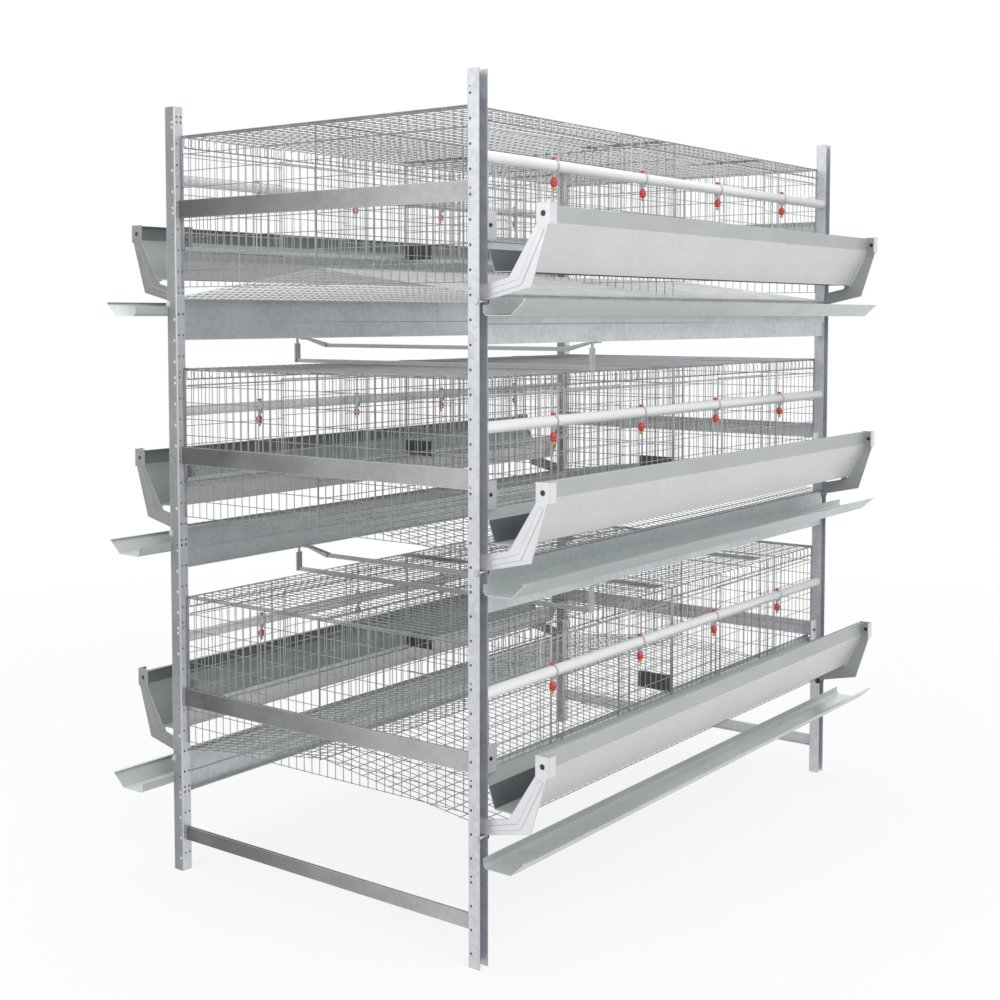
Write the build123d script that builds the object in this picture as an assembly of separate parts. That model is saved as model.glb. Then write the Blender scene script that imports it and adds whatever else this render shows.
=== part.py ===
"""Battery cage: two rows of wire cells back to back, stacked in tiers on folded posts.

Each tier has feed troughs on pressed arms, gutters below them, drinker lines with
valve pins, and a sliding wire door in the front of every cell. Lengths are in
millimetres. X runs along the rows, Y across them, Z is up, and the origin is on the
floor at the middle of the plan.
"""
from build123d import *

import os
from math import cos, radians

os.makedirs("parts", exist_ok=True)

# Frame of folded posts and beams
FRAME_LENGTH = 1740.0
FRAME_DEPTH = 980.0
POST_HEIGHT = 1920.0
POST_WIDTH = 30.0
POST_DEPTH = 32.0
POST_SHEET = 2.0
POST_HOLE_DIAMETER = 8.0
POST_HOLE_EDGE = 9.0
POST_HOLE_PITCH = 300.0
POST_HOLE_COUNT = 6
BEAM_HEIGHT = 44.0
BEAM_SHEET = 2.0
BEAM_INSET = 13.0
BEAM_LEG = 8.0
FIRST_BEAM_TOP = 467.0
BEAM_PITCH = 612.0
BASE_BEAM_HEIGHT = 34.0
BASE_BEAM_BOTTOM = 78.0

# Tiers, measured from the floor of each tier's trough
FIRST_TIER = 350.0
TIER_PITCH = 574.0
TIER_NAMES = ("low", "mid", "top")
ROOF_RISE = 348.0
END_NET_DROP = 22.0

# Wire panels, drawn with a coarse pitch
NET_THICK = 3.0
NET_BAR = 4.0
FRONT_INSET = 34.0
LONG_COLUMNS = 8
ROOF_ROWS = 6
ROOF_COLUMNS = 12
FLOOR_ROWS = 2
END_COLUMNS = 6
HALF_COLUMNS = 3
WALL_ROWS = 1
FLOOR_SLOPE = 0.1317
FLOOR_OVERHANG = 4.0

# Flats of small round pieces, which repeat many times
WIRE_SIDES = 6
HOLE_SIDES = 8
SADDLE_SIDES = 8

# Feed trough: ledge, inner wall, floor, outer wall, lip and hem
TROUGH_SHEET = 1.2
TROUGH_LEDGE_REACH = 42.0
TROUGH_LEDGE_RISE = 18.0
TROUGH_INNER_HEIGHT = 48.0
TROUGH_INNER_LEAN = 16.0
TROUGH_CLEAR = 4.0
TROUGH_FLOOR_WIDTH = 60.0
TROUGH_OUTER_RUN = 54.0
TROUGH_OUTER_RISE = 100.0
TROUGH_LIP = 35.0
TROUGH_HEM = 10.0
TROUGH_NOTCH_GAP = 1.0

# Pressed arm that carries each end of a trough
ARM_SHEET = 2.5
ARM_TONGUE = 26.0
ARM_FOOT_DROP = 60.0
ARM_FOOT_TOP = 25.0
ARM_KNEE_IN = 22.0
ARM_KNEE_DROP = 12.0
ARM_ELBOW_OUT = 35.0
ARM_ELBOW_DROP = 34.0
ARM_SEAT = 12.0
ARM_SEAT_INNER = 0.25
ARM_SEAT_OUTER = 0.85
ARM_RIB_WIDTH = 12.0
ARM_RIB_HEIGHT = 1.5
ARM_HOOK_IN = 8.0
ARM_HOOK_WIDTH = 36.0
ARM_HOOK_DROP = 6.0
ARM_HOOK_RISE = 4.0
ARM_HOOK_FLANGE = 22.0
ARM_HOOK_HOLE = 12.0

# Gutter below each trough
GUTTER_SHEET = 1.2
GUTTER_START = 12.0
GUTTER_OVERHANG = 100.0
GUTTER_FIRST = 222.0
GUTTER_PITCH = 592.0
GUTTER_INNER_RISE = 22.0
GUTTER_INNER_RUN = 6.0
GUTTER_FLOOR_WIDTH = 66.0
GUTTER_OUTER_RUN = 36.0
GUTTER_OUTER_RISE = 32.0
GUTTER_HEM = 6.0

# Side rail under the front edge of each floor
RAIL_SHEET = 2.0
RAIL_TOP_DROP = 50.0
RAIL_FOLD_DROP = 108.0
RAIL_BOTTOM_DROP = 153.0
RAIL_STEP = 4.0
RAIL_TOP_FLANGE = 25.0
RAIL_FOOT_FLANGE = 18.0

# Bent bars that carry the dropping belt and its return run
CARRIER_SIZE = 10.0
CARRIER_PLACE = 470.0
CARRIER_DROP = 172.0
CARRIER_TAB_START = 5.0
CARRIER_TAB_END = 28.0
CARRIER_SLOPE_END = 98.0
STRAP_WIDTH = 20.0
STRAP_SHEET = 4.0
HANGER_OFFSET = 24.0
HANGER_DROP = 214.0
HANGER_INSET = 9.0
HANGER_BOLT = 5.0
HANGER_BOLT_LENGTH = 14.0

# Drinker line and its nipples
PIPE_DIAMETER = 26.0
PIPE_RISE = 243.0
NIPPLE_FIRST = 295.0
NIPPLE_PITCH = 383.0
NIPPLE_COUNT = 4
SADDLE_WALL = 3.0
SADDLE_WIDTH = 18.0
SADDLE_GAP = 0.1
SADDLE_NECK = 12.0
SADDLE_NECK_DROP = 27.0
SADDLE_CAP_HEIGHT = 5.0
NIPPLE_DIAMETER = 17.0
NIPPLE_SIDES = 8
NIPPLE_LENGTH = 19.0
PIN_DIAMETER = 5.0
PIN_CLEARANCE = 0.4
PIN_STEM = 12.0
PIN_TRAVEL = 1.5
PIN_HEADROOM = 1.0
PIN_TIP_LENGTH = 9.0

# Sliding door in each cell's front
DOOR_OPENING = 240.0
DOOR_OVERLAP = 15.0
DOOR_FRONT_GAP = 1.0
DOOR_BACK_GAP = 1.0
DOOR_SILL_GAP = 0.5
DOOR_COLUMNS = 4
DOOR_TOP_DROP = 34.0
GRILLE_COLUMNS = 5
SILL_SHEET = 1.5
SILL_UPSTAND = 10.5
GUIDE_DIAMETER = 4.0
GUIDE_DROP = 40.0

# Pressed bracket beside each post above the ledge
BRACKET_WIDTH = 45.0
BRACKET_HEIGHT = 62.0
BRACKET_SHEET = 1.5
BRACKET_RISE = 68.0
BRACKET_LEG = 16.0
BRACKET_INSET = 10.0

# Fits worked out from the sizes above
X_OUT = FRAME_LENGTH / 2
Y_OUT = FRAME_DEPTH / 2
TIER_FLOORS = [FIRST_TIER + TIER_PITCH * step for step in range(len(TIER_NAMES))]
BEAM_TOPS = [FIRST_BEAM_TOP + BEAM_PITCH * step for step in range(len(TIER_NAMES))]
END_NET_OUT = X_OUT - BEAM_INSET - BEAM_LEG
END_NET_IN = END_NET_OUT - NET_THICK
POST_IN = X_OUT - POST_WIDTH
TROUGH_REACH = POST_IN + POST_SHEET
GUTTER_FLOORS = [GUTTER_FIRST + GUTTER_PITCH * tier for tier in range(len(TIER_NAMES))]
HALF_NET = NET_THICK / 2
FLOOR_FRONT = -RAIL_TOP_DROP
GRILLE_BACK = FRONT_INSET + NET_THICK
CROSS_INSET = max(GRILLE_BACK, TROUGH_LEDGE_REACH - TROUGH_CLEAR + TROUGH_SHEET)
DOOR_FACE = GRILLE_BACK + DOOR_FRONT_GAP
DOOR_BACK = DOOR_FACE + NET_THICK
DOOR_WIDTH = DOOR_OPENING + 2 * DOOR_OVERLAP
DOOR_TRAVEL = DOOR_OPENING
DOOR_TOP = ROOF_RISE - DOOR_TOP_DROP
PIPE_INSET = POST_DEPTH / 2 - 1.0
NIPPLE_X = [NIPPLE_FIRST + NIPPLE_PITCH * step - X_OUT for step in range(NIPPLE_COUNT)]
DOOR_CENTRES = [(NIPPLE_X[0] + NIPPLE_X[1]) / 2, (NIPPLE_X[2] + NIPPLE_X[3]) / 2]


def side_step(points, sheet):
    """Return an open path moved sideways to its left by one sheet, with mitred corners."""
    path = [Vector(*point) for point in points]
    runs = [(b - a).normalized() for a, b in zip(path, path[1:])]
    lefts = [Vector(-run.Y, run.X) for run in runs]
    moved = [path[0] + lefts[0] * sheet]
    for corner, before, after in zip(path[1:-1], lefts, lefts[1:]):
        bisector = (before + after).normalized()
        moved.append(corner + bisector * (sheet / bisector.dot(before)))
    moved.append(path[-1] + lefts[-1] * sheet)
    return [(point.X, point.Y) for point in moved]


def folded(points, sheet):
    """Return the closed outline of a sheet folded along a path."""
    return list(points) + side_step(points, sheet)[::-1]


def along_x(outline, start, end):
    """Push an outline of (y, z) corners from one X to another."""
    face = make_face(Polyline(*outline, close=True))
    return extrude(Plane.YZ.offset(start) * face, amount=end - start)


def along_y(outline, start, end):
    """Push an outline of (x, z) corners from one Y to another."""
    face = make_face(Polyline(*outline, close=True))
    plane = Plane(origin=(0, end, 0), x_dir=(1, 0, 0), z_dir=(0, -1, 0))
    return extrude(plane * face, amount=end - start)


def along_z(outline, start, end):
    """Push an outline of (x, y) corners from one Z to another."""
    face = make_face(Polyline(*outline, close=True))
    return extrude(Plane.XY.offset(start) * face, amount=end - start)


def block(x_span, y_span, z_span):
    """Return a rectangular block between three pairs of limits."""
    low = (x_span[0], y_span[0], z_span[0])
    size = (x_span[1] - x_span[0], y_span[1] - y_span[0], z_span[1] - z_span[0])
    return Pos(*low) * Box(*size, align=(Align.MIN, Align.MIN, Align.MIN))


def rod(start, end, diameter):
    """Return a round bar between two points."""
    axis = Vector(*end) - Vector(*start)
    plane = Plane(origin=start, z_dir=axis)
    return extrude(plane * Circle(diameter / 2), amount=axis.length)


def flats(start, end, across, sides):
    """Return a bar with flat sides between two points, measured across its corners."""
    axis = Vector(*end) - Vector(*start)
    plane = Plane(origin=start, z_dir=axis)
    return extrude(plane * RegularPolygon(across / 2, sides), amount=axis.length)


def flat_bore(start, end, diameter, sides):
    """Return the cutter of a hole with flat sides that clears a round bar."""
    return flats(start, end, diameter / cos(radians(180 / sides)), sides)


def net(place, across, columns, low, high, rows, push):
    """Return a wire panel: one holed face pushed to the panel's thickness.

    place maps (u, v) to a point, across is the pair of u limits, and low and high give
    the panel's v limits at any u.
    """
    def corner(u, v):
        return Vector(*place(u, v))

    left, right = across
    ring = [(left, low(left)), (right, low(right)), (right, high(right)), (left, high(left))]
    holes = []
    pitch = (right - left - NET_BAR) / columns
    for column in range(columns):
        near = left + NET_BAR + pitch * column
        far = near + pitch - NET_BAR
        for row in range(rows):
            quad = []
            for u, edge in ((near, 0), (far, 0), (far, 1), (near, 1)):
                step = (high(u) - low(u) - NET_BAR) / rows
                v = low(u) + NET_BAR + step * row
                if edge:
                    v = v + step - NET_BAR
                quad.append(corner(u, v))
            holes.append(Wire.make_polygon(quad, close=True))
    outer = Wire.make_polygon([corner(u, v) for u, v in ring], close=True)
    return Solid.extrude(Face(outer, holes), Vector(*push))


def front_y(inset):
    """Return the Y of a depth measured inwards from the front posts' outer face."""
    return inset - Y_OUT


def front_outline(points, floor):
    """Place (inset, rise) corners on the front side of a tier."""
    return [(front_y(inset), floor + rise) for inset, rise in points]


def to_rear(piece):
    """Return the rear row's copy of a front piece."""
    return piece.mirror(Plane.XZ)


def to_right(piece):
    """Return the right end's copy of a left piece."""
    return piece.mirror(Plane.YZ)


def turned_round(piece):
    """Return a front piece as it hangs on the rear when the stack is turned round."""
    return to_right(to_rear(piece))


def both_sides(pieces):
    """Return front pieces with their rear copies."""
    return list(pieces) + [to_rear(piece) for piece in pieces]


def four_corners(piece):
    """Return a front left piece at all four corners of the plan."""
    left_pair = both_sides([piece])
    return left_pair + [to_right(copy) for copy in left_pair]


def save(name, pieces):
    """Write one node from its solids."""
    solids = [solid for piece in pieces for solid in piece.solids()]
    export_step(Compound(solids), "parts/" + name + ".step")


def flat(level):
    """Return a panel edge at one level."""
    return lambda u: level


def floor_rise(inset):
    """Return the underside of the sloping floor at a depth from the front."""
    return FLOOR_FRONT + FLOOR_SLOPE * inset


def make_post():
    """Return the front left post, a channel open to the outside."""
    outline = [(POST_WIDTH, 0), (POST_WIDTH, POST_DEPTH), (0, POST_DEPTH), (0, 0)]
    placed = [(x - X_OUT, y - Y_OUT) for x, y in folded(outline, POST_SHEET)]
    post = along_z(placed, 0, POST_HEIGHT)
    for step in range(POST_HOLE_COUNT):
        level = POST_HOLE_PITCH * (step + 0.5)
        depth = front_y(POST_DEPTH - POST_HOLE_EDGE)
        post -= flat_bore((-X_OUT, depth, level), (POST_SHEET - X_OUT, depth, level),
                          POST_HOLE_DIAMETER, HOLE_SIDES)
    return post


def make_beam(bottom, height):
    """Return one left end beam, a shallow channel between the posts' webs."""
    near = BEAM_INSET - X_OUT
    far = near + BEAM_LEG
    top = bottom + height
    path = [(far, top), (near, top), (near, bottom), (far, bottom)]
    reach = Y_OUT - POST_DEPTH
    return along_y(folded(path, BEAM_SHEET), -reach, reach)


def trough_path():
    """Return the feed side of the trough's section, from the ledge out to the hem."""
    wall = -TROUGH_CLEAR
    foot = wall - TROUGH_INNER_LEAN
    knee = foot - TROUGH_FLOOR_WIDTH
    outer = knee - TROUGH_OUTER_RUN
    rim = TROUGH_OUTER_RISE + TROUGH_LIP
    ledge = (wall + TROUGH_LEDGE_REACH, TROUGH_INNER_HEIGHT + TROUGH_LEDGE_RISE)
    lip = [(outer, TROUGH_OUTER_RISE), (outer, rim), (outer + TROUGH_HEM, rim)]
    return [ledge, (wall, TROUGH_INNER_HEIGHT), (foot, 0), (knee, 0)] + lip


def ledge_rise(inset):
    """Return the height of the ledge at a depth from the front."""
    run = inset + TROUGH_CLEAR
    return TROUGH_INNER_HEIGHT + TROUGH_LEDGE_RISE * run / TROUGH_LEDGE_REACH


GRILLE_BOTTOM = ledge_rise(GRILLE_BACK)
SILL_BOTTOM = GRILLE_BOTTOM + NET_BAR / 2
DOOR_BOTTOM = SILL_BOTTOM + SILL_SHEET + DOOR_SILL_GAP


def make_trough(floor):
    """Return a front trough, with its ledge notched round the posts."""
    outline = front_outline(folded(trough_path(), TROUGH_SHEET), floor)
    trough = along_x(outline, -TROUGH_REACH, TROUGH_REACH)
    notch_in = X_OUT - POST_WIDTH - TROUGH_NOTCH_GAP
    depth = (front_y(-TROUGH_CLEAR + TROUGH_SHEET), front_y(TROUGH_LEDGE_REACH))
    level = floor + TROUGH_INNER_HEIGHT - TROUGH_SHEET
    rise = (level, level + TROUGH_LEDGE_RISE + TROUGH_INNER_LEAN)
    notch = block((-X_OUT, -notch_in), depth, rise)
    return trough - notch - to_right(notch)


def make_gutter(level):
    """Return a front gutter that starts at the left post and runs on past the right end."""
    inner = -GUTTER_SHEET
    bend = inner - GUTTER_INNER_RUN
    knee = bend - GUTTER_FLOOR_WIDTH
    outer = knee - GUTTER_OUTER_RUN
    path = [(inner, GUTTER_INNER_RISE), (inner, GUTTER_INNER_RUN), (bend, 0), (knee, 0)]
    path += [(outer, GUTTER_OUTER_RISE), (outer + GUTTER_HEM, GUTTER_OUTER_RISE)]
    outline = front_outline(folded(path, GUTTER_SHEET), level)
    return along_x(outline, GUTTER_START - X_OUT, X_OUT + GUTTER_OVERHANG)


def part_way(start, end, share):
    """Return the point a share of the way along a run."""
    return tuple(a + (b - a) * share for a, b in zip(start, end))


def make_arm(floor):
    """Return the front left trough arm: tongue, legs, rib, seat and hook plate."""
    under = side_step(trough_path(), TROUGH_SHEET)
    foot, knee, shoulder = under[2], under[3], under[4]
    seat_start = part_way(knee, foot, ARM_SEAT_INNER)
    seat_end = part_way(knee, shoulder, ARM_SEAT_OUTER)
    bend = (knee[0] + ARM_KNEE_IN, -ARM_KNEE_DROP)
    elbow = (knee[0] - ARM_ELBOW_OUT, -ARM_ELBOW_DROP)
    hook_in = shoulder[0] + ARM_HOOK_IN
    hook_out = hook_in - ARM_HOOK_WIDTH
    hook_low = shoulder[1] - ARM_HOOK_DROP
    hook_top = shoulder[1] + TROUGH_LIP + ARM_HOOK_RISE
    outline = [(ARM_TONGUE, -ARM_FOOT_DROP), (0, -ARM_FOOT_DROP), elbow]
    outline += [(hook_out + ARM_HOOK_DROP, hook_low), (hook_out, hook_low), (hook_out, hook_top)]
    outline += [(hook_in, hook_top), (hook_in, hook_low), bend]
    outline += [(0, -ARM_FOOT_TOP), (ARM_TONGUE, -ARM_FOOT_TOP)]
    back = -TROUGH_REACH
    face = back - ARM_SHEET
    arm = along_x(front_outline(outline, floor), face, back)
    seat = folded([seat_start, knee, seat_end], ARM_SHEET)
    arm += along_x(front_outline(seat, floor), face, back + ARM_SEAT)
    tab_y = (front_y(hook_out), front_y(hook_out + ARM_SHEET))
    tab_z = (floor + hook_low, floor + hook_top)
    arm += block((face, back + ARM_HOOK_FLANGE), tab_y, tab_z)
    rib_start = (-ARM_RIB_WIDTH, -(ARM_FOOT_DROP + ARM_FOOT_TOP) / 2)
    rib_knee = part_way(bend, elbow, 0.5)
    rib_end = ((hook_in + hook_out + ARM_HOOK_DROP) / 2, seat_end[1])
    rib_side = side_step([rib_start, rib_knee, rib_end], -ARM_RIB_WIDTH / 2)
    rib = front_outline(folded(rib_side, ARM_RIB_WIDTH), floor)
    arm += along_x(rib, face - ARM_RIB_HEIGHT, face)
    hole_y = front_y((hook_in + hook_out) / 2)
    hole_z = floor + (hook_low + hook_top) / 2
    return arm - flat_bore((face - 1, hole_y, hole_z), (back + 1, hole_y, hole_z), ARM_HOOK_HOLE, HOLE_SIDES)


def make_rail(floor):
    """Return a front side rail, stepped at its fold, between the post flanges."""
    path = [(RAIL_TOP_FLANGE, -RAIL_TOP_DROP), (0, -RAIL_TOP_DROP), (0, -RAIL_FOLD_DROP)]
    path += [(RAIL_STEP, -RAIL_FOLD_DROP - RAIL_STEP), (RAIL_STEP, -RAIL_BOTTOM_DROP)]
    path += [(RAIL_STEP + RAIL_FOOT_FLANGE, -RAIL_BOTTOM_DROP)]
    outline = folded(path, RAIL_SHEET)
    return along_x(front_outline(outline, floor), -POST_IN, POST_IN)


def make_carrier(x, floor):
    """Return a belt bar under the floor: tabs below the rails, sloping straps and the run between."""
    half = CARRIER_SIZE / 2
    low = floor - CARRIER_DROP
    wide = (x - STRAP_WIDTH / 2, x + STRAP_WIDTH / 2)
    under = floor - RAIL_BOTTOM_DROP
    tab = block(wide, (front_y(CARRIER_TAB_START), front_y(CARRIER_TAB_END)), (under - STRAP_SHEET, under))
    corners = [(CARRIER_TAB_END, -RAIL_BOTTOM_DROP), (CARRIER_SLOPE_END, half - CARRIER_DROP)]
    corners += [(CARRIER_SLOPE_END, -half - CARRIER_DROP), (CARRIER_TAB_END, -RAIL_BOTTOM_DROP - STRAP_SHEET)]
    slope = along_x(front_outline(corners, floor), *wide)
    end = front_y(CARRIER_SLOPE_END)
    run = block((x - half, x + half), (end, -end), (low - half, low + half))
    return both_sides([tab, slope]) + [run]


def make_hanger(x, floor):
    """Return the lower belt bar: bolts below the rails, upright straps and the run between."""
    half = CARRIER_SIZE / 2
    low = floor - HANGER_DROP
    under = floor - RAIL_BOTTOM_DROP
    top = under - HANGER_BOLT_LENGTH
    near, back = front_y(HANGER_INSET - STRAP_SHEET / 2), front_y(HANGER_INSET + STRAP_SHEET / 2)
    bolt_near, bolt_back = front_y(HANGER_INSET - HANGER_BOLT / 2), front_y(HANGER_INSET + HANGER_BOLT / 2)
    bolt = block((x - HANGER_BOLT / 2, x + HANGER_BOLT / 2), (bolt_near, bolt_back), (top, under))
    strap = block((x - STRAP_WIDTH / 2, x + STRAP_WIDTH / 2), (near, back), (low - half, top))
    run = block((x - half, x + half), (back, -back), (low - half, low + half))
    return both_sides([bolt, strap]) + [run]


def make_roof(floor):
    """Return a tier's roof: bars along it on the end nets, and bars across it on top of those."""
    level = floor + ROOF_RISE
    upper = level + NET_THICK
    length = (-END_NET_OUT, END_NET_OUT)
    reach = front_y(FRONT_INSET)
    depth = (reach, -reach)
    bars = []
    for row in range(ROOF_ROWS + 1):
        near = reach + (-2 * reach - NET_BAR) * row / ROOF_ROWS
        bars.append(block(length, (near, near + NET_BAR), (level, upper)))
    for column in range(ROOF_COLUMNS + 1):
        left = -END_NET_OUT + (2 * END_NET_OUT - NET_BAR) * column / ROOF_COLUMNS
        bars.append(block((left, left + NET_BAR), depth, (upper, upper + NET_THICK)))
    return bars


def make_floor(floor):
    """Return both sloping halves of a tier's floor."""
    inner = Y_OUT - HALF_NET
    half = net(lambda u, v: (u, front_y(v), floor + floor_rise(v)), (-POST_IN, POST_IN),
               LONG_COLUMNS, flat(-FLOOR_OVERHANG), flat(inner), FLOOR_ROWS, (0, 0, NET_THICK))
    return both_sides([half])


def make_dividers(floor):
    """Return a tier's end nets, cross dividers and centre net."""
    roof = flat(floor + ROOF_RISE)
    reach = -front_y(FRONT_INSET)
    end = net(lambda u, v: (-END_NET_OUT, u, v), (-reach, reach), END_COLUMNS,
              flat(floor - END_NET_DROP), roof, WALL_ROWS, (NET_THICK, 0, 0))
    cross = net(lambda u, v: (-HALF_NET, front_y(u), v), (CROSS_INSET, Y_OUT - HALF_NET),
                HALF_COLUMNS, lambda u: floor + floor_rise(u) + NET_THICK, roof, WALL_ROWS,
                (NET_THICK, 0, 0))
    centre = net(lambda u, v: (u, -HALF_NET, v), (-END_NET_IN, END_NET_IN), LONG_COLUMNS,
                 flat(floor + floor_rise(Y_OUT)), roof, WALL_ROWS, (0, NET_THICK, 0))
    return [end, to_right(end), centre] + both_sides([cross])


def cell_limits():
    """Return the X limits of the two cells in a row."""
    return [(-END_NET_IN, -HALF_NET), (HALF_NET, END_NET_IN)]


def make_front(floor):
    """Return a front: fixed grilles beside each door, with the sill and guide behind it."""
    pieces = []
    for (left, right), centre in zip(cell_limits(), DOOR_CENTRES):
        spans = [(left, centre - DOOR_OPENING / 2), (centre + DOOR_OPENING / 2, right)]
        for span in spans:
            grille = net(lambda u, v: (u, front_y(FRONT_INSET), v), span, GRILLE_COLUMNS,
                         flat(floor + GRILLE_BOTTOM), flat(floor + ROOF_RISE), 1,
                         (0, NET_THICK, 0))
            pieces.append(grille)
        back = DOOR_BACK + DOOR_BACK_GAP
        sill = [(back + SILL_SHEET, SILL_BOTTOM + SILL_UPSTAND), (back + SILL_SHEET, SILL_BOTTOM)]
        sill += [(GRILLE_BACK, SILL_BOTTOM)]
        sill = folded(sill[::-1], SILL_SHEET)
        pieces.append(along_x(front_outline(sill, floor), left, right))
        guide_y = front_y(back + GUIDE_DIAMETER / 2)
        guide_z = floor + ROOF_RISE - GUIDE_DROP
        pieces.append(flats((left, guide_y, guide_z), (right, guide_y, guide_z), GUIDE_DIAMETER, WIRE_SIDES))
    return pieces


def make_door(floor, centre):
    """Return one front door panel, closed."""
    span = (centre - DOOR_WIDTH / 2, centre + DOOR_WIDTH / 2)
    return net(lambda u, v: (u, front_y(DOOR_FACE), v), span, DOOR_COLUMNS,
               flat(floor + DOOR_BOTTOM), flat(floor + DOOR_TOP), 1, (0, NET_THICK, 0))


def make_pipe(floor):
    """Return a front drinker pipe, closed by the posts at both ends."""
    y = front_y(PIPE_INSET)
    level = floor + PIPE_RISE
    return rod((-POST_IN, y, level), (POST_IN, y, level), PIPE_DIAMETER)


def make_saddle(floor, x):
    """Return a clip round the pipe, with a cap above it and a neck below."""
    neck = SADDLE_NECK / 2
    half = PIPE_DIAMETER / 2 + SADDLE_WALL
    cap = half + SADDLE_CAP_HEIGHT
    right = [(neck, -SADDLE_NECK_DROP), (neck, -half), (half, -neck)]
    right += [(half, neck), (neck, half), (neck, cap)]
    outline = right + [(-y, z) for y, z in right[::-1]]
    placed = [(front_y(PIPE_INSET + y), floor + PIPE_RISE + z) for y, z in outline]
    clip = along_x(placed, x - SADDLE_WIDTH / 2, x + SADDLE_WIDTH / 2)
    y = front_y(PIPE_INSET)
    level = floor + PIPE_RISE
    bore = PIPE_DIAMETER + 2 * SADDLE_GAP
    return clip - flat_bore((x - SADDLE_WIDTH, y, level), (x + SADDLE_WIDTH, y, level), bore, SADDLE_SIDES)


NIPPLE_TOP = PIPE_RISE - SADDLE_NECK_DROP
NIPPLE_FOOT = NIPPLE_TOP - NIPPLE_LENGTH
PIN_TOP = NIPPLE_FOOT + PIN_STEM
BORE_TOP = PIN_TOP + PIN_TRAVEL + PIN_HEADROOM


def make_nipple(floor, x):
    """Return a nipple body with a blind bore for its pin."""
    y = front_y(PIPE_INSET)
    foot = Plane.XY.offset(floor + NIPPLE_FOOT)
    section = Pos(x, y) * RegularPolygon(NIPPLE_DIAMETER / 2, NIPPLE_SIDES)
    body = extrude(foot * section, amount=NIPPLE_LENGTH)
    bore = PIN_DIAMETER + 2 * PIN_CLEARANCE
    return body - flat_bore((x, y, floor + NIPPLE_FOOT), (x, y, floor + BORE_TOP), bore, WIRE_SIDES)


def make_pin(floor, x):
    """Return a valve pin whose tip stands out below the nipple."""
    y = front_y(PIPE_INSET)
    low = floor + NIPPLE_FOOT - PIN_TIP_LENGTH
    return flats((x, y, low), (x, y, floor + PIN_TOP), PIN_DIAMETER, WIRE_SIDES)


def make_bracket(floor):
    """Return the pressed angle beside the front left post."""
    corner = -POST_IN
    face = front_y(BRACKET_INSET)
    path = [(corner, face + BRACKET_LEG), (corner, face), (corner + BRACKET_WIDTH, face)]
    outline = folded(path, BRACKET_SHEET)
    level = floor + BRACKET_RISE
    return along_z(outline, level, level + BRACKET_HEIGHT)


def main():
    """Build every node and write it."""
    post = make_post()
    save("post_left_front", [post])
    save("post_left_rear", [to_rear(post)])
    save("post_right_front", [to_right(post)])
    save("post_right_rear", [to_right(to_rear(post))])

    beams = [make_beam(top - BEAM_HEIGHT, BEAM_HEIGHT) for top in BEAM_TOPS]
    beams.append(make_beam(BASE_BEAM_BOTTOM, BASE_BEAM_HEIGHT))
    save("end_beams_left", beams)
    save("end_beams_right", [to_right(beam) for beam in beams])

    rails = []
    arms = []
    carriers = []
    pipes = []
    saddles = []
    nipples = []
    brackets = []
    for name, floor, gutter_floor in zip(TIER_NAMES, TIER_FLOORS, GUTTER_FLOORS):
        rail_pair = both_sides([make_rail(floor)])
        arms += four_corners(make_arm(floor))
        brackets += four_corners(make_bracket(floor))
        if name == TIER_NAMES[0]:
            rails += rail_pair[1:]
        else:
            rails += rail_pair
            carriers += make_carrier(CARRIER_PLACE - X_OUT, floor)
            carriers += make_hanger(CARRIER_PLACE - HANGER_OFFSET - X_OUT, floor)

        save("roof_" + name, make_roof(floor))
        save("floor_" + name, make_floor(floor))
        save("dividers_" + name, make_dividers(floor))

        trough = make_trough(floor)
        gutter = make_gutter(gutter_floor)
        save("gutter_" + name + "_front", [gutter])
        save("gutter_" + name + "_rear", [turned_round(gutter)])
        front = make_front(floor)
        pins = [make_pin(floor, x) for x in NIPPLE_X]
        for side, turn in (("front", lambda piece: piece), ("rear", to_rear)):
            tag = name + "_" + side
            save("trough_" + tag, [turn(trough)])
            save("front_" + tag, [turn(piece) for piece in front])
            save("pins_" + tag, [turn(pin) for pin in pins])
            for number, centre in enumerate(DOOR_CENTRES, start=1):
                save("door_" + tag + "_" + str(number), [turn(make_door(floor, centre))])

        pipes += both_sides([make_pipe(floor)])
        saddles += both_sides([make_saddle(floor, x) for x in NIPPLE_X])
        nipples += both_sides([make_nipple(floor, x) for x in NIPPLE_X])

    save("side_rails", rails)
    save("trough_arms", arms)
    save("belt_carriers", carriers)
    save("drinker_pipes", pipes)
    save("nipple_saddles", saddles)
    save("nipple_bodies", nipples)
    save("post_brackets", brackets)


main()
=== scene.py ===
"""Looks of a battery cage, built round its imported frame.

The posts, wire panels, doors and drinker lines are made here in fine detail and stand for the
plain solids. Folded sheet parts and belt carriers keep their solids and get their finishes here.
Fasteners and small plates are added. Lengths are in metres, and places are read from the frame.
"""

import logging
import math
from dataclasses import dataclass
from enum import Enum
from typing import Any, Optional, Sequence, Union

import bmesh
import bpy
from mathutils import Matrix, Vector


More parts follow.
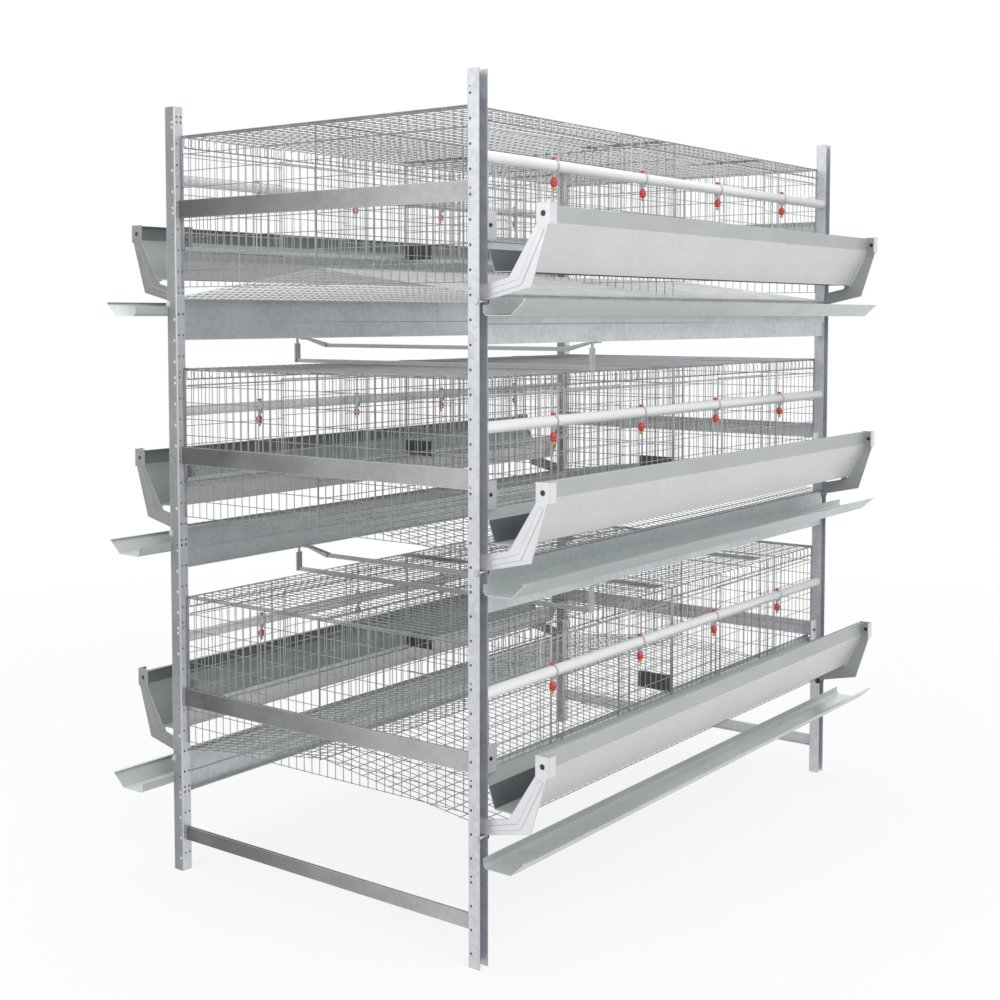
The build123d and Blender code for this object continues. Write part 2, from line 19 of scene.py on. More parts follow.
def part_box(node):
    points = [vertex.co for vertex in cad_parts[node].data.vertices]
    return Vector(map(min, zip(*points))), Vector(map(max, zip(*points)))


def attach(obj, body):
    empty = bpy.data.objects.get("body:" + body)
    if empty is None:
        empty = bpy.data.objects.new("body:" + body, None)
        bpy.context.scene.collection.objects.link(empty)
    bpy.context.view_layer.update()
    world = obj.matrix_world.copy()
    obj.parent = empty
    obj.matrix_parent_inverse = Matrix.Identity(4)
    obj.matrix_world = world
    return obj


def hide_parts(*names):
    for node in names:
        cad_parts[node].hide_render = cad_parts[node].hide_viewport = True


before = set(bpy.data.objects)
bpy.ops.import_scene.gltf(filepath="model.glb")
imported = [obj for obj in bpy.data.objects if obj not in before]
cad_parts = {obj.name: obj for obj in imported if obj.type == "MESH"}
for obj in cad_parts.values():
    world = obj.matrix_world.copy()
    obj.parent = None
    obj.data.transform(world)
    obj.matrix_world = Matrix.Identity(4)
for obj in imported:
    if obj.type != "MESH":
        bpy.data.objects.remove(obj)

LOG = logging.getLogger("battery_cage")
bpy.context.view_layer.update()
FRAME_BODY = "frame"
WIRE_SLOT = "galvanised_wire"
BAR_SLOT = "galvanised_bar"
DOORS_IN_ROW = (1, 2)
X, Y = 0, 1
KEY_DIGITS = 5
MIDDLE = 0.5
Number = Union[float, "Value"]
Mesh = bpy.types.Mesh
Object = bpy.types.Object
Inputs = dict[str, Any]
Pair = tuple[float, float]
Pairs = tuple[Pair, ...]
Point = tuple[float, float, float]
Line = tuple[Point, ...]
Colour = tuple[float, float, float]
Box = tuple[Vector, Vector]


class Named(Enum):
    """Options whose names stand in the names of nodes."""

    @property
    def word(self) -> str:
        """Return the option's name as nodes have it."""
        return self.name.lower()


class Tier(Named):
    """Level of a pair of rows."""

    LOW = 0
    MID = 1
    TOP = 2


class Side(Named):
    """Front or rear row, with its sign along Y."""

    FRONT = -1
    REAR = 1


class End(Named):
    """Left or right end of the rows, with its sign along X."""

    LEFT = -1
    RIGHT = 1


class Axis(Enum):
    """Direction in space."""

    LEFT = (-1, 0, 0)
    RIGHT = (1, 0, 0)
    FRONT = (0, -1, 0)
    REAR = (0, 1, 0)
    UP = (0, 0, 1)
    DOWN = (0, 0, -1)


class Value:
    """A node's output that takes part in Python arithmetic."""

    def __init__(self, tree: bpy.types.NodeTree, socket: bpy.types.NodeSocket) -> None:
        """Keep the tree and the socket."""
        self.tree = tree
        self.socket = socket

    def _math(self, operation: str, first: Number, second: Number) -> "Value":
        """Add one Math node.

        Args:
            operation: name of the node's operation.
            first: left number or value.
            second: right number or value.

        Returns:
            The node's result.
        """
        node = self.tree.nodes.new("ShaderNodeMath")
        node.operation = operation
        for slot, item in zip(node.inputs, (first, second)):
            fill(slot, item)
        return Value(self.tree, node.outputs[0])

    def __add__(self, other: Number) -> "Value":
        """Return the sum."""
        return self._math("ADD", self, other)

    def __radd__(self, other: Number) -> "Value":
        """Return the sum, from a number on the left."""
        return self._math("ADD", other, self)

    def __sub__(self, other: Number) -> "Value":
        """Return the difference."""
        return self._math("SUBTRACT", self, other)

    def __rsub__(self, other: Number) -> "Value":
        """Return the difference, from a number on the left."""
        return self._math("SUBTRACT", other, self)

    def __mul__(self, other: Number) -> "Value":
        """Return the product."""
        return self._math("MULTIPLY", self, other)

    def clamped(self) -> "Value":
        """Return the value held between 0 and 1."""
        return self._math("MINIMUM", self._math("MAXIMUM", self, 0.0), 1.0)


def fill(slot: bpy.types.NodeSocket, item: Any) -> None:
    """Link a value to a node's input, or set the input.

    Args:
        slot: the input.
        item: a value, or what the input is set to.
    """
    if isinstance(item, Value):
        item.tree.links.new(item.socket, slot)
    else:
        slot.default_value = item


class NodeBench:
    """Adds nodes to one tree."""

    def __init__(self, tree: bpy.types.NodeTree) -> None:
        """Keep the tree."""
        self.tree = tree

    def add(self, kind: str, settings: Optional[Inputs] = None,
            sockets: Optional[Inputs] = None, output: Union[int, str] = 0) -> Optional[Value]:
        """Add one node.

        Args:
            kind: the node's type.
            settings: properties, which are set first.
            sockets: numbers or values of the inputs, by name or identifier.
            output: which output is wanted.

        Returns:
            That output, or None for a node without one.
        """
        node = self.tree.nodes.new(kind)
        for key, item in (settings or {}).items():
            setattr(node, key, item)
        for key, item in (sockets or {}).items():
            fill(next(slot for slot in node.inputs if key in (slot.identifier, slot.name)), item)
        return Value(self.tree, node.outputs[output]) if len(node.outputs) else None


class Recipe(NodeBench):
    """Builds one material's nodes on Object coordinates."""

    FOLD_SAMPLES = 4
    FOLD_GAIN = 40.0
    PLAIN_DETAIL = 2.0
    RICH_DETAIL = 3.0
    MIXED_COLOUR = 2

    def __init__(self, name: str) -> None:
        """Start an empty material.

        Args:
            name: the material's name.
        """
        self.material = bpy.data.materials.new(name)
        self.material.use_nodes = True
        super().__init__(self.material.node_tree)
        self.tree.nodes.clear()
        self.place = self.add("ShaderNodeTexCoord", output="Object")

    def noise(self, scale: float, detail: float = PLAIN_DETAIL, stretch: Optional[Point] = None) -> Value:
        """Return a noise between 0 and 1.

        Args:
            scale: lumps in a metre.
            detail: levels of finer lumps.
            stretch: factors on the three axes, where the lumps are drawn out.

        Returns:
            The noise.
        """
        place = self.place
        if stretch:
            place = self.add("ShaderNodeMapping", None, {"Vector": place, "Scale": stretch})
        inputs = {"Vector": place, "Scale": scale, "Detail": detail}
        return self.add("ShaderNodeTexNoise", None, inputs, "Fac")

    def blend(self, share: Number, first: Any, second: Any) -> Value:
        """Return a colour between two others, by a share."""
        inputs = {"Factor_Float": share, "A_Color": rgba(first), "B_Color": rgba(second)}
        return self.add("ShaderNodeMix", {"data_type": "RGBA"}, inputs, self.MIXED_COLOUR)

    def along(self, axis: str) -> Value:
        """Return a place's coordinate on one axis of the object."""
        return self.add("ShaderNodeSeparateXYZ", None, {"Vector": self.place}, axis)

    def facing(self, axis: str) -> Value:
        """Return how far a face looks along one axis of the object."""
        normal = self.add("ShaderNodeTexCoord", output="Normal")
        return self.add("ShaderNodeSeparateXYZ", None, {"Vector": normal}, axis)

    def fold(self, reach: float) -> Value:
        """Return 1 along folds and cut edges and 0 on flat faces.

        Args:
            reach: how far from the edge it shows.

        Returns:
            The share.
        """
        eased = self.add("ShaderNodeBevel", {"samples": self.FOLD_SAMPLES}, {"Radius": reach})
        flat = self.add("ShaderNodeNewGeometry", output="Normal")
        same = self.add("ShaderNodeVectorMath", {"operation": "DOT_PRODUCT"},
                        {"Vector": eased, "Vector_001": flat}, "Value")
        return ((1.0 - same) * self.FOLD_GAIN).clamped()

    def relief(self, height: Value, strength: float, depth: float) -> Value:
        """Return a normal bent by a height."""
        return self.add("ShaderNodeBump", None, {"Height": height, "Strength": strength, "Distance": depth})

    def close(self, sockets: Inputs) -> bpy.types.Material:
        """End the material in one Principled shader and return it.

        Args:
            sockets: the shader's inputs.

        Returns:
            The material.
        """
        shader = self.add("ShaderNodeBsdfPrincipled", None, sockets)
        self.add("ShaderNodeOutputMaterial", None, {"Surface": shader})
        return self.material


def rgba(colour: Any) -> Any:
    """Return a colour with its alpha, or a value as it is."""
    return colour if isinstance(colour, Value) else (*colour, 1.0)


@dataclass(frozen=True)
class Stain:
    """Painted shade on some of a part's faces, with the painted light that its folds have there."""

    axis: str
    colour: Colour
    share: float
    worn: Optional[Colour] = None

    SWAY = 0.4

    def reach(self, recipe: Recipe) -> Value:
        """Return 1 where the painted shade lies and 0 where it does not."""
        raise NotImplementedError

    def cover(self, recipe: Recipe, cloud: Value) -> Value:
        """Return how much of the painted shade shows at a place, which follows the part's clouds a little.
        """
        return self.reach(recipe) * (self.share + (cloud - MIDDLE) * self.SWAY).clamped()


@dataclass(frozen=True)
class Tint(Stain):
    """Painted shade on the faces that look one way.

    A sign of 0 takes faces that look either way along the axis. An end of 1 or -1 keeps to the
    right or the left half of the part.
    """

    sign: int = 0
    start: float = 0.075
    gain: float = 4.0
    end: int = 0

    HALF_GAIN = 100.0

    def reach(self, recipe: Recipe) -> Value:
        """Return 1 on the faces that look that way.

        Args:
            recipe: the material's nodes.

        Returns:
            The share.
        """
        look = recipe.facing(self.axis)
        look = look * look if self.sign == 0 else look * self.sign
        found = ((look - self.start) * self.gain).clamped()
        if self.end:
            found = found * (recipe.along("X") * self.end * self.HALF_GAIN).clamped()
        return found


@dataclass(frozen=True)
class Fade(Stain):
    """Painted shade that comes in along a part, from one place to where it is full."""

    start: float = 0.0
    full: float = 1.0

    def reach(self, recipe: Recipe) -> Value:
        """Return how far the painted shade has come in at a place."""
        return ((recipe.along(self.axis) - self.start) * (1 / (self.full - self.start))).clamped()


@dataclass(frozen=True)
class Finish:
    """A finish that runs between a light and a dark colour."""

    name: str
    light: Colour
    dark: Colour

    def mix(self, recipe: Recipe) -> Inputs:
        """Return the shader's inputs."""
        raise NotImplementedError

    def material(self) -> bpy.types.Material:
        """Return the finish as a material, which is made once.

        Returns:
            The material.
        """
        made = bpy.data.materials.get(self.name)
        if made:
            return made
        recipe = Recipe(self.name)
        return recipe.close(self.mix(recipe))


# Painted highlight along folds and cut edges, where a bright fold catches the light.
FOLD_HIGHLIGHT: Colour = (0.74, 0.76, 0.77)


@dataclass(frozen=True)
class GalvanisedSheet(Finish):
    """Zinc-coated sheet with a faint spangle, clouds and rolling streaks, with painted shade on some faces
    and painted light along its folds.
    """

    spangle: float = 0.011
    contrast: float = 0.35
    clouds: float = 1.1
    roughness: float = 0.42
    metallic: float = 0.75
    edge: float = 0.0022
    shine: float = 0.6
    worn: Colour = FOLD_HIGHLIGHT
    stains: tuple[Stain, ...] = ()

    CLOUD_SCALE = 6.0
    CLOUD_START = 0.35
    STREAK_SCALE = 40.0
    STREAK_STRETCH = (0.06, 1.0, 1.0)
    STREAK_SHARE = 0.5
    FINE_SCALE = 700.0
    GRAIN_ROUGHNESS = 0.10
    CLOUD_ROUGHNESS = 0.12
    STAIN_ROUGHNESS = 0.2
    GRAIN_RELIEF = 0.6
    FINE_RELIEF = 0.4
    RELIEF = (0.10, 0.0004)

    def mix(self, recipe: Recipe) -> Inputs:
        """Return the shader's inputs.

        Args:
            recipe: the material's nodes.

        Returns:
            Values by the names of the inputs.
        """
        cells = recipe.add("ShaderNodeTexVoronoi", None,
                           {"Vector": recipe.place, "Scale": 1 / self.spangle}, "Color")
        grain = recipe.add("ShaderNodeSeparateColor", None, {"Color": cells}, "Red")
        cloud = recipe.noise(self.CLOUD_SCALE, recipe.RICH_DETAIL)
        streak = recipe.noise(self.STREAK_SCALE, stretch=self.STREAK_STRETCH)
        fine = recipe.noise(self.FINE_SCALE)
        tone = (grain - MIDDLE) * self.contrast + (cloud - self.CLOUD_START) * self.clouds
        tone = tone + (streak - MIDDLE) * self.STREAK_SHARE
        colour = recipe.blend(tone.clamped(), self.light, self.dark)
        rough = self.roughness + (grain - MIDDLE) * self.GRAIN_ROUGHNESS
        rough = rough + (cloud - MIDDLE) * self.CLOUD_ROUGHNESS
        worn: Any = self.worn
        # Painted shade by facing or by place, each with the painted light that folds have under it.
        for painted_shade in self.stains:
            cover = painted_shade.cover(recipe, cloud)
            colour = recipe.blend(cover, colour, painted_shade.colour)
            worn = recipe.blend(cover, worn, painted_shade.worn) if painted_shade.worn else worn
            rough = rough + cover * self.STAIN_ROUGHNESS
        # Painted light along folds and cut edges: a highlight, or a dark shadow line where the fold colour
        # is dark.
        colour = recipe.blend(recipe.fold(self.edge) * self.shine, colour, worn)
        bump = recipe.relief(grain * self.GRAIN_RELIEF + fine * self.FINE_RELIEF, *self.RELIEF)
        return {"Base Color": colour, "Roughness": rough, "Metallic": self.metallic, "Normal": bump}


@dataclass(frozen=True)
class DrawnWire(Finish):
    """Zinc-coated wire, brighter and duller along its length."""

    roughness: float = 0.38
    metallic: float = 0.8

    PATCH_SCALE = 22.0
    PATCH_START = 0.3
    PATCH_SHARE = 1.6
    PATCH_ROUGHNESS = 0.2
    FINE_SCALE = 600.0
    FINE_SHARE = 0.4
    RELIEF = (0.15, 0.0003)

    def mix(self, recipe: Recipe) -> Inputs:
        """Return the shader's inputs.

        Args:
            recipe: the material's nodes.

        Returns:
            Values by the names of the inputs.
        """
        patch = recipe.noise(self.PATCH_SCALE, recipe.RICH_DETAIL)
        fine = recipe.noise(self.FINE_SCALE)
        tone = (patch - self.PATCH_START) * self.PATCH_SHARE + (fine - MIDDLE) * self.FINE_SHARE
        return {"Base Color": recipe.blend(tone.clamped(), self.light, self.dark),
                "Roughness": self.roughness + (patch - MIDDLE) * self.PATCH_ROUGHNESS,
                "Metallic": self.metallic, "Normal": recipe.relief(fine, *self.RELIEF)}


@dataclass(frozen=True)
class MouldedPlastic(Finish):
    """Plastic with a slight mottle and a fine surface grain."""

    roughness: float = 0.35
    coat: float = 0.2

    MOTTLE_SCALE = 9.0
    MOTTLE_START = 0.35
    MOTTLE_SHARE = 1.5
    MOTTLE_ROUGHNESS = 0.15
    FINE_SCALE = 1100.0
    RELIEF = (0.06, 0.0003)

    def mix(self, recipe: Recipe) -> Inputs:
        """Return the shader's inputs.

        Args:
            recipe: the material's nodes.

        Returns:
            Values by the names of the inputs.
        """
        mottle = recipe.noise(self.MOTTLE_SCALE, recipe.RICH_DETAIL)
        fine = recipe.noise(self.FINE_SCALE)
        tone = (mottle - self.MOTTLE_START) * self.MOTTLE_SHARE
        return {"Base Color": recipe.blend(tone.clamped(), self.light, self.dark),
                "Roughness": self.roughness + (mottle - MIDDLE) * self.MOTTLE_ROUGHNESS,
                "Coat Weight": self.coat, "Normal": recipe.relief(fine, *self.RELIEF)}


# Painted shade on the front posts' faces that look along Y, the channel's web; on the rear posts, on faces
# that look along X.
POST_FINISH = GalvanisedSheet("zinc_post", (0.64, 0.66, 0.70), (0.46, 0.48, 0.52), contrast=0.45,
                              metallic=0.6, stains=(Tint("Y", (0.20, 0.22, 0.23), 0.9, start=0.4),))
REAR_POST_FINISH = GalvanisedSheet("zinc_post_rear", (0.66, 0.68, 0.71), (0.54, 0.56, 0.59), contrast=0.35,
                                   metallic=0.6, stains=(Tint("X", (0.27, 0.28, 0.29), 0.9, start=0.4),))
# The left end beams darken towards the rear: painted shade.
BEAM_FINISH = GalvanisedSheet("zinc_beam", (0.48, 0.48, 0.49), (0.26, 0.26, 0.27), contrast=0.12,
                              clouds=0.8, metallic=0.5,
                              stains=(Fade("Y", (0.085, 0.086, 0.09), 0.85, start=-0.40, full=0.30),))
# A lighter copy of the beam finish for the right end beams, whose visible faces lie in shade: painted
# light.
LIT_FAR_BEAM_FINISH = GalvanisedSheet("zinc_beam_far", (0.74, 0.76, 0.78), (0.62, 0.64, 0.66), contrast=0.2,
                                  metallic=0.1)
# Painted shade on the right arms' faces that look left and on the rear arms; the arms' dark fold colour
# paints shadow lines along their folds and ribs.
ARM_PAINTED_SHADES = (Tint("X", (0.33, 0.355, 0.365), 0.9, FOLD_HIGHLIGHT, sign=-1, start=0.6, gain=6.0, end=1),
              Fade("Y", (0.26, 0.265, 0.27), 0.9, FOLD_HIGHLIGHT, start=0.30, full=0.40))
ARM_FINISH = GalvanisedSheet("zinc_arm", (0.78, 0.78, 0.81), (0.63, 0.63, 0.66), contrast=0.2,
                             metallic=0.35, worn=(0.30, 0.30, 0.33), stains=ARM_PAINTED_SHADES)
RAIL_FINISH = GalvanisedSheet("zinc_rail", (0.62, 0.66, 0.67), (0.42, 0.46, 0.47), metallic=0.6)
# Painted shade on the gutters' faces that look along Y.
GUTTER_FINISH = GalvanisedSheet("zinc_gutter", (0.74, 0.78, 0.78), (0.58, 0.63, 0.63), metallic=0.5,
                                stains=(Tint("Y", (0.48, 0.52, 0.52), 0.7, start=0.3),))
BAR_FINISH = GalvanisedSheet("zinc_bar", (0.42, 0.43, 0.44), (0.30, 0.31, 0.32), spangle=0.006,
                             metallic=0.6)
WIRE_FINISH = DrawnWire("zinc_wire", (0.38, 0.39, 0.40), (0.19, 0.20, 0.21))
FRONT_WIRE_FINISH = DrawnWire("zinc_wire_front", (0.62, 0.63, 0.64), (0.34, 0.35, 0.36))
BRIGHT_WIRE_FINISH = DrawnWire("zinc_wire_bright", (0.66, 0.67, 0.68), (0.45, 0.46, 0.47))
BOLT_FINISH = DrawnWire("dark_bolt", (0.085, 0.085, 0.09), (0.03, 0.03, 0.035), 0.45, 0.7)
PIPE_FINISH = MouldedPlastic("white_pipe", (0.88, 0.88, 0.87), (0.82, 0.82, 0.81), 0.32)
CLIP_FINISH = MouldedPlastic("grey_clip", (0.24, 0.25, 0.26), (0.15, 0.16, 0.17), 0.45, 0.0)
RED_FINISH = MouldedPlastic("red_nipple", (0.40, 0.004, 0.012), (0.26, 0.002, 0.008), 0.3, 0.1)
PLATE_FINISH = MouldedPlastic("dark_plate", (0.060, 0.064, 0.068), (0.040, 0.043, 0.046), 0.5, 0.0)
PIN_FINISH = MouldedPlastic("orange_pin", (0.80, 0.46, 0.03), (0.68, 0.30, 0.015), 0.3, 0.1)


def trough_finish(side: Side, light: Colour, dark: Colour) -> GalvanisedSheet:
    """Return a trough's finish, with painted shade on its walls, lip, inside and underside.

    Args:
        side: row that the trough belongs to.
        light: the sheet's light colour.
        dark: its dark colour.

    Returns:
        The finish.
    """
    # Painted shade on faces that look up (inside), down (underside) and along Y (walls).
    stains = (Tint("Z", (0.12, 0.135, 0.145), 0.95, sign=1, start=0.2, gain=12.0),
              Tint("Z", (0.47, 0.51, 0.51), 0.95, sign=1, start=0.42, gain=20.0),
              Tint("Z", (0.05, 0.052, 0.05), 0.95, sign=-1, start=0.94, gain=20.0),
              Tint("Y", (0.46, 0.49, 0.48), 0.9, sign=side.value, start=0.96, gain=40.0),
              Tint("Y", (0.20, 0.22, 0.23), 0.9, sign=-side.value, start=0.96, gain=40.0))
    return GalvanisedSheet("zinc_trough_" + side.word, light, dark, contrast=0.15, clouds=0.8, metallic=0.4,
                           stains=stains)


# The rear troughs get a lighter copy of the front troughs' colours: painted light.
TROUGH_FINISHES = {Side.FRONT: trough_finish(Side.FRONT, (0.70, 0.70, 0.685), (0.59, 0.595, 0.585)),
                   Side.REAR: trough_finish(Side.REAR, (0.72, 0.73, 0.72), (0.61, 0.62, 0.61))}


def linked(name: str, data: bpy.types.ID) -> Object:
    """Return a new object in the scene.

    Args:
        name: the object's name.
        data: its mesh, lamp or camera.

    Returns:
        The object.
    """
    made = bpy.data.objects.new(name, data)
    bpy.context.scene.collection.objects.link(made)
    return made


def dropped(scratch: Object) -> None:
    """Remove a scratch object and its mesh.

    Args:
        scratch: the object.
    """
    mesh = scratch.data
    bpy.data.objects.remove(scratch)
    bpy.data.meshes.remove(mesh)


def drawn(points: Sequence[Point], edges: Sequence[tuple[int, int]] = ()) -> Mesh:
    """Return a mesh of points and edges alone.

    Args:
        points: the points.
        edges: pairs of the points' numbers.

    Returns:
        The mesh.
    """
    mesh = bpy.data.meshes.new("drawn")
    mesh.from_pydata(points, edges, [])
    return mesh


class GeometryTree(NodeBench):
    """A Geometry Nodes tree with named inputs, which works on a scratch object."""

    def __init__(self, title: str, kinds: dict[str, str]) -> None:
        """Start a tree with geometry, named inputs and a material going in.

        Args:
            title: the tree's name.
            kinds: kinds of the inputs' sockets, by the inputs' names.
        """
        super().__init__(bpy.data.node_groups.new(title, "GeometryNodeTree"))
        self.keys: dict[str, str] = {}
        self.given: dict[str, Value] = {}
        inlet = self.tree.nodes.new("NodeGroupInput")
        for name, kind in {"Geometry": "Geometry", **kinds, "Material": "Material"}.items():
            made = self.tree.interface.new_socket(name, in_out="INPUT", socket_type="NodeSocket" + kind)
            socket = next(one for one in inlet.outputs if one.identifier == made.identifier)
            self.keys[name] = made.identifier
            self.given[name] = Value(self.tree, socket)

    def close(self, geometry: Value) -> None:
        """End the tree in real geometry with its material.

        Args:
            geometry: what the tree has made.
        """
        real = self.add("GeometryNodeRealizeInstances", None, {"Geometry": geometry})
        dressed = self.add("GeometryNodeSetMaterial", None,
                           {"Geometry": real, "Material": self.given["Material"]})
        self.tree.interface.new_socket("Geometry", in_out="OUTPUT", socket_type="NodeSocketGeometry")
        self.add("NodeGroupOutput", None, {"Geometry": dressed})

    def job(self, mesh: Mesh, values: Inputs) -> Object:
        """Return a scratch object that carries the tree.

        Args:
            mesh: what goes in.
            values: the named inputs.

        Returns:
            The scratch object, not evaluated yet.
        """
        scratch = linked("scratch", mesh)
        modifier = scratch.modifiers.new("tree", "NODES")
        modifier.node_group = self.tree
        for name, value in values.items():
            modifier[self.keys[name]] = value
        return scratch


class RowTree(GeometryTree):
    """Turns drawn lines into bent wires, and repeats them along a straight line."""

    SIDES = 8
    BEND_STEPS = 3

    def __init__(self) -> None:
        """Build the tree."""
        super().__init__("wire_row", {"Radius": "Float", "Bend": "Float", "Copies": "Int",
                                      "Step": "Vector"})
        given = self.given
        line = self.add("GeometryNodeMeshToCurve", None, {"Mesh": given["Geometry"]})
        line = self.add("GeometryNodeFilletCurve", {"mode": "POLY"},
                        {"Curve": line, "Count": self.BEND_STEPS, "Radius": given["Bend"],
                         "Limit Radius": True})
        ring = self.add("GeometryNodeCurvePrimitiveCircle", {"mode": "RADIUS"},
                        {"Resolution": self.SIDES, "Radius": given["Radius"]})
        wire = self.add("GeometryNodeCurveToMesh", None,
                        {"Curve": line, "Profile Curve": ring, "Fill Caps": True})
        wire = self.add("GeometryNodeSetShadeSmooth", None, {"Geometry": wire, "Shade Smooth": True})
        wire = self.add("GeometryNodeGeometryToInstance", None, {"Geometry": wire})
        points = self.add("GeometryNodeMeshLine", {"mode": "OFFSET", "count_mode": "TOTAL"},
                          {"Count": given["Copies"], "Offset": given["Step"]})
        self.close(self.add("GeometryNodeInstanceOnPoints", None, {"Points": points, "Instance": wire}))


class ScatterTree(GeometryTree):
    """Puts one solid on every point of a mesh."""

    def __init__(self) -> None:
        """Build the tree."""
        super().__init__("scatter", {"Solid": "Object"})
        solid = self.add("GeometryNodeObjectInfo", None,
                         {"Object": self.given["Solid"], "As Instance": True}, "Geometry")
        points = self.given["Geometry"]
        self.close(self.add("GeometryNodeInstanceOnPoints", None, {"Points": points, "Instance": solid}))


class PunchTree(GeometryTree):
    """Punches round holes along X and along Y through a sheet, at the points of two other meshes."""

    HOLE_SIDES = 16
    QUARTER = math.pi / 2
    WAYS = {"Flange Points": (0.0, QUARTER, 0.0), "Web Points": (QUARTER, 0.0, 0.0)}

    def __init__(self) -> None:
        """Build the tree."""
        super().__init__("punch", {**dict.fromkeys(self.WAYS, "Object"), "Radius": "Float",
                                   "Depth": "Float"})
        given = self.given
        tool = self.add("GeometryNodeMeshCylinder", None,
                        {"Vertices": self.HOLE_SIDES, "Radius": given["Radius"],
                         "Depth": given["Depth"]}, "Mesh")
        sheet = given["Geometry"]
        for name, turn in self.WAYS.items():
            place = self.add("GeometryNodeObjectInfo", None, {"Object": given[name]}, "Geometry")
            across = self.add("GeometryNodeTransform", None, {"Geometry": tool, "Rotation": turn})
            tools = self.add("GeometryNodeInstanceOnPoints", None, {"Points": place, "Instance": across})
            tools = self.add("GeometryNodeRealizeInstances", None, {"Geometry": tools})
            sheet = self.add("GeometryNodeMeshBoolean", {"operation": "DIFFERENCE", "solver": "EXACT"},
                             {"Mesh 1": sheet, "Mesh 2": tools})
        self.close(sheet)


ROW_TREE = RowTree()
SCATTER_TREE = ScatterTree()
PUNCH_TREE = PunchTree()


@dataclass(frozen=True)
class Row:
    """Wires drawn once and repeated along a straight line."""

    lines: tuple[Line, ...]
    radius: float
    copies: int = 1
    step: Point = (0.0, 0.0, 0.0)
    bend: float = 0.0

    def job(self, finish: Finish) -> Object:
        """Return the row as a scratch object.

        Args:
            finish: the wires' finish.

        Returns:
            The scratch object, not evaluated yet.
        """
        points: list[Point] = []
        edges: list[tuple[int, int]] = []
        for line in self.lines:
            first = len(points)
            points += line
            edges += [(first + n, first + n + 1) for n in range(len(line) - 1)]
        return ROW_TREE.job(drawn(points, edges), {
            "Radius": self.radius, "Bend": self.bend, "Copies": self.copies, "Step": self.step,
            "Material": finish.material()})


def spread(line: Line, along: Axis, reach: float, pitch: float, radius: float, bend: float = 0.0) -> Row:
    """Return wires spread evenly across a panel.

    Args:
        line: the first wire.
        along: direction of the spread.
        reach: distance from the first wire to the last.
        pitch: distance wanted between wires.
        radius: the wires' radius.
        bend: radius of their bends.

    Returns:
        The row.
    """
    count = max(1, round(reach / pitch))
    return Row((line,), radius, count + 1, tuple(Vector(along.value) * (reach / count)), bend)


@dataclass(frozen=True)
class Net:
    """An upright net along X or Y, with uprights on its outer face and bars on its inner face."""

    low: Vector
    high: Vector
    axis: int
    outer: float
    inner: float

    def point(self, along: float, off: float, z: float) -> Point:
        """Return a point of the net."""
        return (off, along, z) if self.axis == Y else (along, off, z)

    def upright(self, along: float) -> Line:
        """Return the upright at one place along the net."""
        return self.point(along, self.outer, self.low.z), self.point(along, self.outer, self.high.z)

    def bar(self, z: float) -> Line:
        """Return the bar at one height."""
        start, end = self.low[self.axis], self.high[self.axis]
        return self.point(start, self.inner, z), self.point(end, self.inner, z)

    def rows(self, margin: float, pitch: float, cross_pitch: float, radius: float) -> list[Row]:
        """Return the net's wires.

        Args:
            margin: distance of the first and last wires from the solid's edges.
            pitch: distance wanted between uprights.
            cross_pitch: distance wanted between bars.
            radius: the wires' radius.

        Returns:
            The row of uprights and the row of bars.
        """
        start, foot = self.low[self.axis] + margin, self.low.z + margin
        length = self.high[self.axis] - margin - start
        direction = Axis.REAR if self.axis == Y else Axis.RIGHT
        return [spread(self.upright(start), direction, length, pitch, radius),
                spread(self.bar(foot), Axis.UP, self.high.z - margin - foot, cross_pitch, radius)]


@dataclass(frozen=True)
class Piece:
    """One visible piece, with the body that it rides on and the solids that it stands for."""

    name: str
    finish: Finish
    slot: str
    nodes: tuple[str, ...] = ()
    body: str = FRAME_BODY

    def hang(self, mesh: Mesh) -> None:
        """Dress a mesh and hang it on the piece's body.

        Args:
            mesh: the piece's shape.
        """
        mesh.materials.clear()
        mesh.materials.append(self.finish.material())
        shown = linked(self.name, mesh)
        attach(shown, self.body)
        if self.nodes:
            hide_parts(*self.nodes)
        LOG.info("%s: %d faces", self.name, len(mesh.polygons))

    def bake(self, jobs: Sequence[Object]) -> None:
        """Make the piece of what trees have made.

        Args:
            jobs: scratch objects with their trees, which are removed.
        """
        graph = bpy.context.evaluated_depsgraph_get()
        baked = [bpy.data.meshes.new_from_object(job.evaluated_get(graph), depsgraph=graph) for job in jobs]
        mesh = merged(self.name, baked)
        for job in jobs:
            dropped(job)
        self.hang(mesh)

    def draw(self, rows: Sequence[Row]) -> None:
        """Make the piece of rows of wires."""
        self.bake([row.job(self.finish) for row in rows])

    def repeat(self, groups: Sequence[tuple[Mesh, Sequence[Point]]]) -> None:
        """Make the piece of solids that are repeated at their places.

        Args:
            groups: solids, each with its places.
        """
        solids = [linked("solid", mesh) for mesh, _ in groups]
        self.bake([SCATTER_TREE.job(drawn(places), {"Solid": solid, "Material": self.finish.material()})
                   for solid, (_, places) in zip(solids, groups)])
        for solid in solids:
            dropped(solid)


